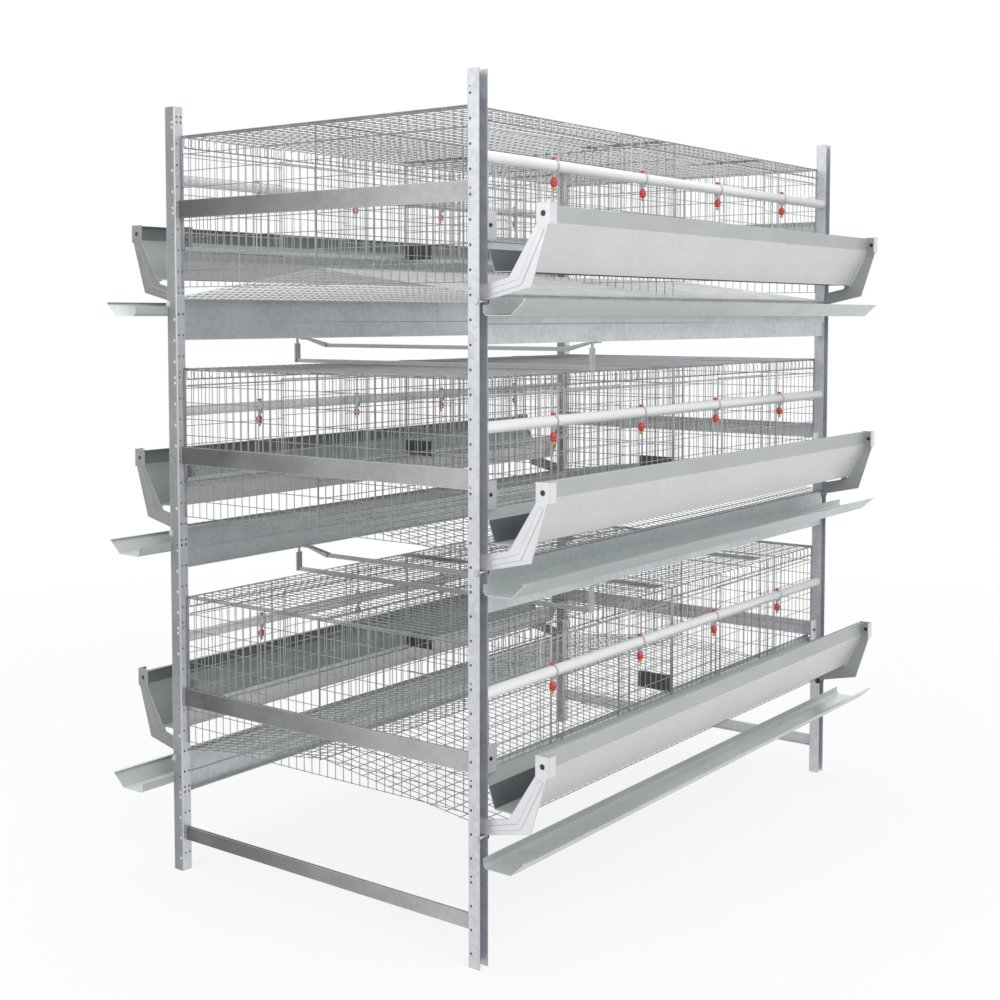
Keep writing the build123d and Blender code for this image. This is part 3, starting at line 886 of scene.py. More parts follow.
def solids_of(node: str) -> list[Box]:
    """Return the box of every separate solid in a node of the frame.

    Args:
        node: the node's name.

    Returns:
        Lowest and highest corners, in the order of their places.
    """
    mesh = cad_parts[node].data
    keys = [tuple(round(c, KEY_DIGITS) for c in vertex.co) for vertex in mesh.vertices]
    chief = {key: key for key in keys}

    def top(key: tuple) -> tuple:
        """Return the chief point of a point's solid.

        Args:
            key: the point.

        Returns:
            The chief point.
        """
        while chief[key] != key:
            chief[key] = chief[chief[key]]
            key = chief[key]
        return key

    for face in mesh.polygons:
        corners = [keys[n] for n in face.vertices]
        for other in corners[1:]:
            chief[top(other)] = top(corners[0])
    groups: dict[tuple, list[tuple]] = {}
    for key in chief:
        groups.setdefault(top(key), []).append(key)
    boxes = [(Vector(map(min, zip(*group))), Vector(map(max, zip(*group)))) for group in groups.values()]
    return sorted(boxes, key=lambda box: tuple(box[0]))


def ends(box: Box, axis: int, sign: int) -> Pair:
    """Return a box's outward and inward ends along an axis, by the sign of its side."""
    low, high = box[0][axis], box[1][axis]
    return (low, high) if sign < 0 else (high, low)


def mesh_of(name: str, points: Sequence, faces: Sequence, smooth: bool = False) -> Mesh:
    """Return a mesh with its faces pointing outwards.

    Args:
        name: the mesh's name.
        points: its points.
        faces: numbers of each face's points.
        smooth: whether the faces are shaded smooth.

    Returns:
        The mesh.
    """
    mesh = bpy.data.meshes.new(name)
    mesh.from_pydata([tuple(point) for point in points], [], [tuple(face) for face in faces])
    work = bmesh.new()
    work.from_mesh(mesh)
    bmesh.ops.recalc_face_normals(work, faces=work.faces)
    work.to_mesh(mesh)
    work.free()
    for face in mesh.polygons:
        face.use_smooth = smooth
    return mesh


def rounded_path(path: Sequence[Pair], radius: float, steps: int) -> list[Vector]:
    """Return an open path in a plane with its corners rounded.

    Args:
        path: the path's corners.
        radius: radius of the bends.
        steps: points on each bend, less one.

    Returns:
        The points of the path.
    """
    corners = [Vector(corner) for corner in path]
    made = [corners[0]]
    for before, corner, after in zip(corners, corners[1:], corners[2:]):
        back = (before - corner).normalized()
        on = (after - corner).normalized()
        half = back.angle(on) / 2
        reach = min(radius / math.tan(half), (before - corner).length / 2, (after - corner).length / 2)
        centre = corner + (back + on).normalized() * (reach / math.cos(half))
        start, end = corner + back * reach - centre, corner + on * reach - centre
        for n in range(steps + 1):
            made.append(centre + start.lerp(end, n / steps).normalized() * start.length)
    return made + [corners[-1]]


def sheet_ring(path: Sequence[Vector], sheet: float) -> list[Vector]:
    """Return the closed outline of a sheet laid on the left of a path.

    Args:
        path: points of the sheet's one face.
        sheet: its thickness.

    Returns:
        The outline's points.
    """
    other = []
    for n, point in enumerate(path):
        run = path[min(n + 1, len(path) - 1)] - path[max(n - 1, 0)]
        other.append(point + Vector((-run.y, run.x)).normalized() * sheet)
    return list(path) + other[::-1]


def pushed(name: str, ring: Sequence[Vector], start: float, end: float, order: str) -> Mesh:
    """Return a solid pushed from a ring.

    Args:
        name: the mesh's name.
        ring: corners in a plane.
        start: where the push starts.
        end: where it ends.
        order: the axes of the ring's two coordinates and of the push, such as "xyz".

    Returns:
        The mesh.
    """
    count = len(ring)
    points = []
    for level in (start, end):
        for corner in ring:
            by_axis = dict(zip(order, (corner[0], corner[1], level)))
            points.append((by_axis["x"], by_axis["y"], by_axis["z"]))
    faces = [(n, (n + 1) % count, count + (n + 1) % count, count + n) for n in range(count)]
    faces += [tuple(range(count)), tuple(range(count, 2 * count))]
    return mesh_of(name, points, faces)


def turned(name: str, outline: Sequence[Pair], segments: int, axis: Axis = Axis.UP,
           smooth: bool = True) -> Mesh:
    """Return a solid turned about an axis through the origin.

    Args:
        name: the mesh's name.
        outline: (radius, height) pairs from one end to the other; a radius of 0 is a pole.
        segments: faces round the axis.
        axis: direction of rising height.
        smooth: whether the faces are shaded smooth.

    Returns:
        The mesh.
    """
    points: list[Vector] = []
    rings: list[list[int]] = []
    for radius, height in outline:
        count = segments if radius > 0 else 1
        rings.append(list(range(len(points), len(points) + count)))
        for n in range(count):
            angle = 2 * math.pi * n / segments
            points.append(Vector((radius * math.cos(angle), radius * math.sin(angle), height)))
    faces = []
    for lower, upper in zip(rings, rings[1:]):
        for n in range(segments):
            m = (n + 1) % segments
            quad = [lower[n % len(lower)], lower[m % len(lower)],
                    upper[m % len(upper)], upper[n % len(upper)]]
            face = list(dict.fromkeys(quad))
            if len(face) > 2:
                faces.append(face)
    faces += [ring for ring in (rings[0], rings[-1]) if len(ring) > 1]
    turn = Vector(Axis.UP.value).rotation_difference(Vector(axis.value)).to_matrix()
    return mesh_of(name, [turn @ point for point in points], faces, smooth)


def merged(name: str, meshes: Sequence[Mesh]) -> Mesh:
    """Return one mesh made of several.

    Args:
        name: the mesh's name.
        meshes: what it is made of, which is removed.

    Returns:
        The mesh.
    """
    whole = bmesh.new()
    for mesh in meshes:
        whole.from_mesh(mesh)
        bpy.data.meshes.remove(mesh)
    made = bpy.data.meshes.new(name)
    whole.to_mesh(made)
    whole.free()
    return made


def moved(mesh: Mesh, place: Sequence[float]) -> Mesh:
    """Return a mesh after a move."""
    mesh.transform(Matrix.Translation(Vector(place)))
    return mesh


@dataclass
class Posts:
    """Four folded channel posts, open to the outside, with columns of holes."""

    sheet: float = 0.002
    bend: float = 0.0035
    bend_steps: int = 4
    hole_radius: float = 0.0034
    hole_pitch: float = 0.0525
    hole_sink: float = 0.4
    hole_edge: float = 0.0085
    pair_gap: float = 0.013
    pair_every: int = 4
    web_columns: tuple[float, ...] = (0.3, 0.75)
    punch: float = 0.008

    def levels(self, low: float, high: float) -> list[float]:
        """Return the heights of the holes, with a second hole beside some of them.

        Args:
            low: height of the post's foot.
            high: height of its head.

        Returns:
            The heights.
        """
        made = []
        for n in range(1, int((high - low) / self.hole_pitch) + 1):
            made.append(low + self.hole_pitch * (n - self.hole_sink))
            if n % self.pair_every == 0:
                made.append(made[-1] + self.pair_gap)
        return made

    def post(self, end: End, side: Side) -> None:
        """Make one post and stand it in for its solid.

        Args:
            end: end of the rows that it stands at.
            side: row that it stands at.
        """
        node = f"post_{end.word}_{side.word}"
        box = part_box(node)
        foot, head = box[0].z, box[1].z
        outer_y, web_y = ends(box, Y, side.value)
        near, far = ends(box, X, end.value)
        path = [(far, outer_y), (far, web_y), (near, web_y), (near, outer_y)]
        line = rounded_path(path, self.bend, self.bend_steps)
        mesh = pushed("channel", sheet_ring(line, self.sheet * end.value * side.value), foot, head, "xyz")
        levels = self.levels(foot, head)
        depth = web_y + side.value * self.hole_edge
        flange = linked("flange", drawn([(near, depth, level) for level in levels]))
        web = linked("web", drawn([(near + (far - near) * share, web_y, level + self.pair_gap)
                                   for share in self.web_columns for level in levels]))
        finish = POST_FINISH if side is Side.FRONT else REAR_POST_FINISH
        job = PUNCH_TREE.job(mesh, {"Flange Points": flange, "Web Points": web, "Radius": self.hole_radius,
                                    "Depth": self.punch, "Material": finish.material()})
        Piece(node + "_channel", finish, "galvanised_frame", (node,)).bake([job])
        dropped(flange)
        dropped(web)

    def build(self) -> None:
        """Make the posts."""
        for end in End:
            for side in Side:
                self.post(end, side)


@dataclass
class WirePanels:
    """Welded wire roofs, floors, dividers, fronts and doors."""

    wire: float = 0.0010
    rim: float = 0.0017
    frame_wire: float = 0.0016
    pitch: float = 0.025
    cross_pitch: float = 0.040
    front_pitch: float = 0.026
    front_cross_pitch: float = 0.046
    sink: float = 0.75
    skirt: float = 0.030
    skirt_stand: float = 0.0060
    skirt_bend: float = 0.010
    hook: float = 0.007
    hook_rod: float = 1 / 3
    post_gap: float = 0.004
    window: float = 0.022
    laps: tuple[float, ...] = (0.482, 0.806)
    lap: float = 0.022
    lap_reach: float = 0.23
    lap_fineness: int = 4
    net_thick: float = 0.003
    cross_depth: float = 0.6
    guide_height: float = 0.006
    sill_height: float = 0.03
    sill_sheet: float = 0.0015
    sill_bend: float = 0.003
    sill_steps: int = 3
    corner: float = 0.006
    door_layer: float = 1 / 3

    def layer(self) -> float:
        """Return the distance between two welded layers."""
        return 2 * self.wire * self.sink

    def roof(self, tier: Tier) -> None:
        """Make a roof whose cross wires bend down over both fronts.

        Args:
            tier: the roof's tier.
        """
        node = "roof_" + tier.word
        low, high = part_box(node)
        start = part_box("post_left_front")[1].x + self.post_gap
        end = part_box("post_right_front")[0].x - self.post_gap
        level = low.z + self.wire
        top = level + self.layer()
        drop = top - self.skirt
        out = high.y + self.skirt_stand - 2 * self.wire
        half = self.hook / 2
        tail = [(out - self.hook, drop + self.hook), (out - half, drop - half),
                (out, drop + half), (out, top)]
        line = [(start, y, z) for y, z in tail] + [(start, -y, z) for y, z in tail[::-1]]
        first = low.y + self.wire
        rows = [spread(tuple(line), Axis.RIGHT, end - start, self.pitch, self.wire, self.skirt_bend),
                spread(((low.x, first, level), (high.x, first, level)), Axis.REAR,
                       high.y - self.wire - first, self.cross_pitch, self.wire)]
        for x in (low.x + self.rim, high.x - self.rim):
            rows.append(Row((((x, low.y, top), (x, high.y, top)),), self.rim))
        rod = drop + self.hook * self.hook_rod
        for y in (half - out, out - half):
            rows.append(Row((((start, y, rod), (end, y, rod)),), self.rim))
        for share in self.laps:
            for side in Side:
                rows += self.roof_lap(low.x + (high.x - low.x) * share, high.y - self.pitch, top, side)
        Piece(node + "_wires", WIRE_FINISH, WIRE_SLOT, (node,)).draw(rows)

    def roof_lap(self, middle: float, edge: float, top: float, side: Side) -> list[Row]:
        """Return the finer wires where two nets of a roof lap.

        Args:
            middle: the lap's place along the rows.
            edge: distance of its outer end from the middle of the plan.
            top: height of the roof's upper layer.
            side: row that it lies over.

        Returns:
            Its rows.
        """
        outer = side.value * edge
        inner = outer - side.value * self.lap_reach
        near, far = middle - self.lap, middle + self.lap
        above, first = top + self.layer(), min(outer, inner)
        return [spread(((near, outer, above), (near, inner, above)), Axis.RIGHT, far - near,
                       self.pitch / self.lap_fineness, self.wire),
                spread(((near, first, top), (far, first, top)), Axis.REAR, self.lap_reach,
                       self.cross_pitch / self.lap_fineness, self.wire)]

    def floor(self, tier: Tier) -> None:
        """Make both halves of a sloping floor.

        Args:
            tier: the floor's tier.
        """
        node = "floor_" + tier.word
        rows = []
        for low, high in solids_of(node):
            outer, inner = ends((low, high), Y, -1 if low.y + high.y < 0 else 1)
            rise = high.z - self.net_thick - low.z
            level = low.z + self.wire
            top = level + self.layer()
            start, end = low.x + self.wire, high.x - self.wire
            rows.append(spread(((start, outer, top), (start, inner, top + rise)), Axis.RIGHT, end - start,
                               self.pitch, self.wire))
            count = round(abs(inner - outer) / self.cross_pitch)
            rows.append(Row((((low.x, outer, level), (high.x, outer, level)),), self.wire, count + 1,
                            (0.0, (inner - outer) / count, rise / count)))
        finish = BRIGHT_WIRE_FINISH if tier is Tier.TOP else WIRE_FINISH
        Piece(node + "_wires", finish, WIRE_SLOT, (node,)).draw(rows)

    def dividers(self, tier: Tier) -> None:
        """Make a tier's end nets, cross dividers and centre net.

        Args:
            tier: their tier.
        """
        node = "dividers_" + tier.word
        rows = []
        for low, high in solids_of(node):
            size = high - low
            if size.x > size.y:
                rows += self.upright_net(low, high, X)
            elif size.y > self.cross_depth:
                rows += self.upright_net(low, high, Y)
            else:
                rows += self.cross_net(low, high, tier)
        Piece(node + "_wires", WIRE_FINISH, WIRE_SLOT, (node,)).draw(rows)

    def upright_net(self, low: Vector, high: Vector, axis: int) -> list[Row]:
        """Return a net that stands upright along X or Y.

        Args:
            low: lowest corner of its solid.
            high: highest corner.
            axis: X or Y, which it runs along.

        Returns:
            Its rows.
        """
        across = X if axis == Y else Y
        centre = (low[across] + high[across]) / 2
        off = math.copysign(self.layer() / 2, centre)
        net = Net(low, high, axis, centre + off, centre - off)
        rows = net.rows(self.wire, self.pitch, self.cross_pitch, self.wire)
        for along in (low[axis] + self.wire, high[axis] - self.wire):
            rows.append(Row((net.upright(along),), self.frame_wire))
        rows.append(Row((net.bar(high.z - self.rim),), self.rim))
        return rows

    def bar_levels(self, low: Vector, high: Vector) -> list[float]:
        """Return the heights of a cross divider's bars."""
        count = round((high.z - low.z) / self.cross_pitch)
        return [low.z + (high.z - low.z) * n / count - self.wire for n in range(count + 1)]

    def cross_net(self, low: Vector, high: Vector, tier: Tier) -> list[Row]:
        """Return a cross divider, whose foot follows the sloping floor.

        Args:
            low: lowest corner of its solid.
            high: highest corner.
            tier: its tier.

        Returns:
            Its rows.
        """
        floor_low, floor_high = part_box("floor_" + tier.word)
        outer, inner = sorted((low.y, high.y), key=abs, reverse=True)
        slope = (floor_high.z - self.net_thick - floor_low.z) / floor_high.y
        centre = (low.x + high.x) / 2
        right, left = centre + self.layer() / 2, centre - self.layer() / 2

        def foot(y: float) -> float:
            """Return the height of the floor's upper face at a depth."""
            return floor_high.z - slope * abs(y) + self.wire

        count = round(abs(outer - inner) / self.pitch)
        depths = [outer + (inner - outer) * n / count for n in range(count + 1)]
        uprights = [((right, y, foot(y)), (right, y, high.z)) for y in depths]
        bars = []
        for z in self.bar_levels(low, high):
            start = inner
            if z < foot(inner):
                start = math.copysign((floor_high.z + self.wire - z) / slope, outer)
            if abs(outer) - abs(start) > self.pitch:
                bars.append(((left, start, z), (left, outer, z)))
        return [Row(tuple(uprights), self.wire), Row(tuple(bars), self.wire)]

    def front(self, tier: Tier, side: Side) -> None:
        """Make a front: fixed grilles, nipple windows, sills and guide wires.

        Args:
            tier: the front's tier.
            side: its row.
        """
        tag = f"{tier.word}_{side.word}"
        node = "front_" + tag
        rows: list[Row] = []
        bright: list[Line] = []
        sills: list[Mesh] = []
        nipples = [(low.x + high.x) / 2 for low, high in solids_of("pins_" + tag)]
        windows = [edge for x in nipples for edge in (x - self.window, x + self.window)]
        for low, high in solids_of(node):
            height = high.z - low.z
            if height < self.guide_height:
                middle = (low + high) / 2
                line = ((low.x, middle.y, middle.z), (high.x, middle.y, middle.z))
                rows.append(Row((line,), height / 2))
            elif height < self.sill_height:
                sills.append(self.sill(low, high, side))
            else:
                inner = ends((low, high), Y, side.value)[1] + side.value * self.wire
                net = Net(low, high, X, inner + side.value * self.layer(), inner)
                rows += net.rows(self.wire, self.front_pitch, self.front_cross_pitch, self.wire)
                for x in (low.x + self.frame_wire, high.x - self.frame_wire):
                    rows.append(Row((net.upright(x),), self.frame_wire))
                bright += [net.upright(x) for x in windows if low.x < x < high.x]
        Piece(node + "_wires", FRONT_WIRE_FINISH, WIRE_SLOT, (node,)).draw(rows)
        Piece(node + "_windows", BRIGHT_WIRE_FINISH, WIRE_SLOT).draw([Row(tuple(bright), self.frame_wire)])
        Piece(node + "_sills", RAIL_FINISH, WIRE_SLOT).hang(merged("sills", sills))

    def sill(self, low: Vector, high: Vector, side: Side) -> Mesh:
        """Return the folded angle that a door stands on.

        Args:
            low: lowest corner of its solid.
            high: highest corner.
            side: its row.

        Returns:
            Its mesh.
        """
        outer, inner = ends((low, high), Y, side.value)
        corners = [(outer, low.z), (inner, low.z), (inner, high.z)]
        path = rounded_path(corners, self.sill_bend, self.sill_steps)
        return pushed("sill", sheet_ring(path, -self.sill_sheet * side.value), low.x, high.x, "yzx")

    def door(self, tier: Tier, side: Side, number: int) -> None:
        """Make one sliding door.

        Args:
            tier: the door's tier.
            side: its row.
            number: its place in the row.
        """
        node = f"door_{tier.word}_{side.word}_{number}"
        low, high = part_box(node)
        centre, edge = (low.y + high.y) / 2, (high.y - low.y) / 2
        off = side.value * self.layer() * self.door_layer
        left, right, foot, head = low.x + edge, high.x - edge, low.z + edge, high.z - edge
        loop = ((left, centre, foot), (right, centre, foot), (right, centre, head), (left, centre, head))
        rows = [Row((loop,), edge, bend=self.corner), Row(((loop[-1], loop[0]),), edge)]
        net = Net(low, high, X, centre + off, centre - off)
        rows += net.rows(edge, self.front_pitch, self.front_cross_pitch, self.wire)
        Piece(node + "_wires", FRONT_WIRE_FINISH, WIRE_SLOT, (node,), node).draw(rows)

    def build(self) -> None:
        """Make every wire panel."""
        for tier in Tier:
            self.roof(tier)
            self.floor(tier)
            self.dividers(tier)
            for side in Side:
                self.front(tier, side)
                for number in DOORS_IN_ROW:
                    self.door(tier, side, number)


@dataclass
class DividerPlates:
    """Small dark plates that clip over two bars of each cross divider, at its front edge."""

    wires: WirePanels
    length: float = 0.095
    rise: float = 0.112
    sheet: float = 0.0014
    hook: float = 0.0014
    bend: float = 0.0006
    bend_steps: int = 2
    widest: float = 0.01

    def plate(self, low: Vector, high: Vector, floor: float) -> Mesh:
        """Return the plate of one divider.

        Args:
            low: lowest corner of the divider's solid.
            high: highest corner.
            floor: height of the floor's front edge.

        Returns:
            Its mesh.
        """
        wire = self.wires.wire
        levels = self.wires.bar_levels(low, high)
        first = min(range(len(levels) - 1), key=lambda n: abs(levels[n] - floor - self.rise))
        bottom, top = levels[first] - wire, levels[first + 1] + wire
        back = (low.x + high.x) / 2 - self.wires.layer() / 2 - wire
        corners = [(back + self.hook, top), (back, top), (back, bottom), (back + self.hook, bottom)]
        ring = sheet_ring(rounded_path(corners, self.bend, self.bend_steps), -self.sheet)
        outer = max(low.y, high.y, key=abs)
        return pushed("plate", ring, outer, outer - math.copysign(self.length, outer), "xzy")

    def build(self) -> None:
        """Make the plates of all tiers as one piece."""
        plates = []
        for tier in Tier:
            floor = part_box("floor_" + tier.word)[0].z
            for low, high in solids_of("dividers_" + tier.word):
                if abs(low.x + high.x) < self.widest and high.x - low.x < self.widest:
                    plates.append(self.plate(low, high, floor))
        Piece("divider_plates", PLATE_FINISH, "grey_clip").hang(merged("divider_plates", plates))


@dataclass
class DrinkerLines:
    """White pipes with clipped nipples, whose pins lift.

    An outline's pairs are widths, as shares of a radius, and rises from a level. The cap's pairs
    are half widths and rises from the band's top.
    """

    edge: float = 0.0012
    pipe_sides: int = 32
    band_width: float = 0.006
    band_wall: float = 0.0018
    band_sink: float = 0.0004
    band_sides: int = 24
    neck_radius: float = 0.0042
    stem_foot: Pairs = ((0.9, -0.001), (1.0, 0.0))
    stem_head: Pairs = ((1.0, -0.004), (1.7, 0.001))
    stem_sides: int = 12
    lug_radius: float = 0.0035
    lug_outline: Pairs = ((1.0, -0.004), (1.2, -0.003), (1.2, 0.003), (1.0, 0.004))
    lug_sides: int = 8
    lug_ahead: float = 0.007
    lug_drop: float = 0.003
    cap_depth: float = 0.007
    cap: Pairs = ((0.006, 0.0045), (0.006, 0.002), (0.003, -0.001))
    collar: Pairs = ((1.0, 0.002),)
    cup_radius: float = 0.0083
    cup_head: Pairs = ((0.72, -0.001), (0.95, -0.004), (1.08, -0.008))
    cup_foot: Pairs = ((1.02, 0.009), (0.8, 0.005), (0.92, 0.004), (0.92, 0.002), (0.7, 0.001))
    cup_sides: int = 16
    bore: float = 0.0029
    bore_outline: Pairs = ((1.2, 0.0), (1.0, 0.0006), (1.0, 0.0145), (0.0, 0.0145))
    pin_radius: float = 0.0024
    pin_tip: Pairs = ((0.0, 0.0), (0.8, 0.0006), (2.0, 0.0048), (1.9, 0.0062), (1.0, 0.0070))
    pin_head: Pairs = ((1.0, -0.001), (0.0, 0.0))
    pin_sides: int = 12

    def build(self) -> None:
        """Make the pipes, clips, nipples and pins."""
        pipes = solids_of("drinker_pipes")
        self.pipes(pipes)
        spots: list[Point] = []
        for body in (f"pins_{tier.word}_{side.word}" for tier in Tier for side in Side):
            pins = solids_of(body)
            tip, top = pins[0][0].z, pins[0][1].z
            y = (pins[0][0].y + pins[0][1].y) / 2
            axis = self.axis_near(pipes, pins[0])
            places = [((low.x + high.x) / 2, y, axis) for low, high in pins]
            spots += places
            self.pins(body, places, tip - axis, top - axis)
        radius = (pipes[0][1].z - pipes[0][0].z) / 2
        saddle, cup = solids_of("nipple_saddles")[0], solids_of("nipple_bodies")[0]
        neck = saddle[0].z - self.axis_near(pipes, saddle)
        self.clips(spots, radius, neck)
        self.nipples(spots, radius, neck, cup[0].z - self.axis_near(pipes, cup))

    @staticmethod
    def axis_near(pipes: Sequence[Box], box: Box) -> float:
        """Return the height of the pipe that is nearest to a box."""
        middle = (box[0].z + box[1].z) / 2
        return min(((low.z + high.z) / 2 for low, high in pipes), key=lambda z: abs(z - middle))

    @staticmethod
    def outline(pairs: Sequence[Pair], radius: float, level: float) -> list[Pair]:
        """Return an outline's pairs at a size and a level."""
        return [(share * radius, level + rise) for share, rise in pairs]

    def pipes(self, pipes: Sequence[Box]) -> None:
        """Make the pipes with eased ends.

        Args:
            pipes: boxes of their solids.
        """
        made = []
        for low, high in pipes:
            radius, half = (high.z - low.z) / 2, (high.x - low.x) / 2
            outline = [(radius - self.edge, -half), (radius, -half + self.edge),
                       (radius, half - self.edge), (radius - self.edge, half)]
            made.append(moved(turned("pipe", outline, self.pipe_sides, Axis.RIGHT), (low + high) / 2))
        tubes = merged("tubes", made)
        Piece("drinker_pipes_tubes", PIPE_FINISH, "white_pipe", ("drinker_pipes",)).hang(tubes)

    def clips(self, spots: Sequence[Point], radius: float, neck: float) -> None:
        """Make the grey bands round the pipe, each with its neck and lug.

        Args:
            spots: places on the pipes' axes.
            radius: the pipes' radius.
            neck: height of the neck's foot, from the pipe's axis.
        """
        half = self.band_width / 2
        inner, outer = radius - self.band_sink, radius + self.band_wall
        ring = [(inner, -half), (outer, -half), (outer, half), (inner, half), (inner, -half)]
        stem = (self.outline(self.stem_foot, self.neck_radius, neck)
                + self.outline(self.stem_head, self.neck_radius, -radius))
        lug = self.outline(self.lug_outline, self.lug_radius, 0.0)
        clip = merged("clip", [turned("band", ring, self.band_sides, Axis.RIGHT),
                               turned("stem", stem, self.stem_sides),
                               moved(turned("lug", lug, self.lug_sides, Axis.RIGHT),
                                     (self.lug_ahead, 0.0, -radius - self.lug_drop))])
        Piece("nipple_saddles_clips", CLIP_FINISH, "grey_clip", ("nipple_saddles",)).repeat([(clip, spots)])

    def nipples(self, spots: Sequence[Point], radius: float, neck: float, foot: float) -> None:
        """Make the red cap bar above the pipe and the red cup below it.

        Args:
            spots: places on the pipes' axes.
            radius: the pipes' radius.
            neck: height of the neck's foot, from the pipe's axis.
            foot: height of the cup's foot, from the pipe's axis.
        """
        top = radius + self.band_wall
        half = [(x, top + z) for x, z in self.cap]
        ring = [Vector((-x, z)) for x, z in half] + [Vector(corner) for corner in half[::-1]]
        cap = pushed("cap", ring, -self.cap_depth / 2, self.cap_depth / 2, "xzy")
        outline = (self.outline(self.collar, self.neck_radius, neck)
                   + self.outline(self.cup_head, self.cup_radius, neck)
                   + self.outline(self.cup_foot, self.cup_radius, foot)
                   + self.outline(self.bore_outline, self.bore, foot))
        nipple = merged("cup_and_cap", [cap, turned("cup", outline, self.cup_sides)])
        Piece("nipple_bodies_cups", RED_FINISH, "red_nipple", ("nipple_bodies",)).repeat([(nipple, spots)])

    def pins(self, body: str, spots: Sequence[Point], tip: float, top: float) -> None:
        """Make the valve pins of one line.

        Args:
            body: the pins' body and node.
            spots: places on the pipe's axis.
            tip: height of the pins' tips, from the pipe's axis.
            top: height of their heads.
        """
        outline = (self.outline(self.pin_tip, self.pin_radius, tip)
                   + self.outline(self.pin_head, self.pin_radius, top))
        pin = turned("pin", outline, self.pin_sides)
        Piece(body + "_tips", PIN_FINISH, "orange_pin", (body,), body).repeat([(pin, spots)])


@dataclass
class Fasteners:
    """Bolts across the posts below the arms' feet, on the brackets and below the belt carriers' tabs."""

    shank: float = 0.0032
    shank_tip: float = 0.8
    shank_sides: int = 10
    head: float = 0.0062
    head_height: float = 0.0045
    head_sink: float = 0.9
    head_top: float = 0.85
    head_sides: int = 6
    washer: float = 0.0085
    washer_height: float = 0.0012
    washer_edge: float = 0.94
    washer_sides: int = 16
    foot_inset: float = 0.006
    hook_middle: float = 0.018
    hook_drop: float = 0.0225
    plug: float = 0.0062
    plug_half: float = 0.00095
    plate_middle: float = 0.00275
    tail: float = 0.004
    ease: float = 0.0005
    small: float = 0.55
    tab_stretch: float = 2.0

    def screw(self, axis: Axis, length: float, size: float = 1.0) -> Mesh:
        """Return a hexagon head on a washer, with a shank behind it.

        Args:
            axis: direction that the head points in, from the washer's seat at the origin.
            length: length of the shank behind the seat.
            size: factor on the widths.

        Returns:
            The mesh.
        """
        wide, across, thin = self.washer * size, self.head * size, self.shank * size
        seat = self.washer_height
        top = seat + self.head_height * size
        ring = [(wide * self.washer_edge, 0), (wide, self.ease), (wide, seat), (across, seat)]
        head = [(across, seat * self.head_sink), (across, top - 2 * self.ease),
                (across * self.head_top, top)]
        shank = [(thin * self.shank_tip, -length), (thin, self.ease - length), (thin, self.ease)]
        return merged("screw", [turned("washer", ring, self.washer_sides, axis, False),
                                turned("head", head, self.head_sides, axis, False),
                                turned("shank", shank, self.shank_sides, axis)])

    def arm_bolts(self) -> None:
        """Make a bolt across each post just below an arm's foot, with a dark nut on the inside, and a dark
        disc of painted shade in each hook plate's hole.
        """
        heads: dict[End, list[Point]] = {end: [] for end in End}
        nuts: dict[End, list[Point]] = {end: [] for end in End}
        hole_shades: list[Point] = []
        for arm in solids_of("trough_arms"):
            end = End.LEFT if arm[0].x < 0 else End.RIGHT
            side = Side.FRONT if arm[0].y < 0 else Side.REAR
            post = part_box(f"post_{end.word}_{side.word}")
            outer, inner = ends(post, X, end.value)
            y = ends(post, Y, side.value)[0] - side.value * self.foot_inset
            z = arm[0].z - self.shank
            heads[end].append((outer, y, z))
            nuts[end].append((inner, y, z))
            # A dark disc in the arm's hook plate stands for the shade in its hole: painted shade.
            hole_shades.append((ends(arm, X, end.value)[0] - end.value * self.plate_middle,
                          ends(arm, Y, side.value)[0] - side.value * self.hook_middle,
                          arm[1].z - self.hook_drop))
        length = post[1].x - post[0].x + self.tail
        Piece("arm_bolts", BRIGHT_WIRE_FINISH, BAR_SLOT).repeat([
            (self.screw(Axis.LEFT, length), heads[End.LEFT]),
            (self.screw(Axis.RIGHT, length), heads[End.RIGHT])])
        Piece("arm_nuts", BOLT_FINISH, BAR_SLOT).repeat([
            (self.screw(Axis.LEFT, self.tail / 2), nuts[End.RIGHT]),
            (self.screw(Axis.RIGHT, self.tail / 2), nuts[End.LEFT])])
        # Dark discs as painted shade in the hook plates' holes.
        outline = [(self.plug, -self.plug_half), (self.plug, self.plug_half)]
        plug = turned("plug", outline, self.washer_sides, Axis.RIGHT, False)
        Piece("hook_plugs", BOLT_FINISH, BAR_SLOT).repeat([(plug, hole_shades)])

    def build(self) -> None:
        """Make the fasteners."""
        self.arm_bolts()
        spots: dict[Axis, list[Point]] = {Axis.FRONT: [], Axis.REAR: [], Axis.DOWN: []}
        for low, high in solids_of("post_brackets"):
            axis, y = (Axis.FRONT, low.y) if low.y < 0 else (Axis.REAR, high.y)
            spots[axis].append(((low.x + high.x) / 2, y, (low.z + high.z) / 2))
        for low, high in solids_of("belt_carriers"):
            size = high - low
            if size.z < size.y < size.x * self.tab_stretch:
                spots[Axis.DOWN].append(((low.x + high.x) / 2, (low.y + high.y) / 2, low.z))
        Piece("small_screws", BOLT_FINISH, BAR_SLOT).repeat(
            [(self.screw(axis, self.tail, self.small), places) for axis, places in spots.items()])


class SheetParts:
    """Folded sheet parts and belt carriers, which keep their solids."""

    def build(self) -> None:
        """Give each solid its finish."""
        finishes = {"end_beams_left": BEAM_FINISH, "end_beams_right": LIT_FAR_BEAM_FINISH,
                    "side_rails": RAIL_FINISH, "trough_arms": ARM_FINISH, "post_brackets": ARM_FINISH,
                    "belt_carriers": BAR_FINISH}
        for tier in Tier:
            for side in Side:
                finishes[f"trough_{tier.word}_{side.word}"] = TROUGH_FINISHES[side]
                finishes[f"gutter_{tier.word}_{side.word}"] = GUTTER_FINISH
        for node, finish in finishes.items():
            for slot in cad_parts[node].material_slots:
                slot.material = finish.material()
            LOG.info("%s: %s", node, finish.name)


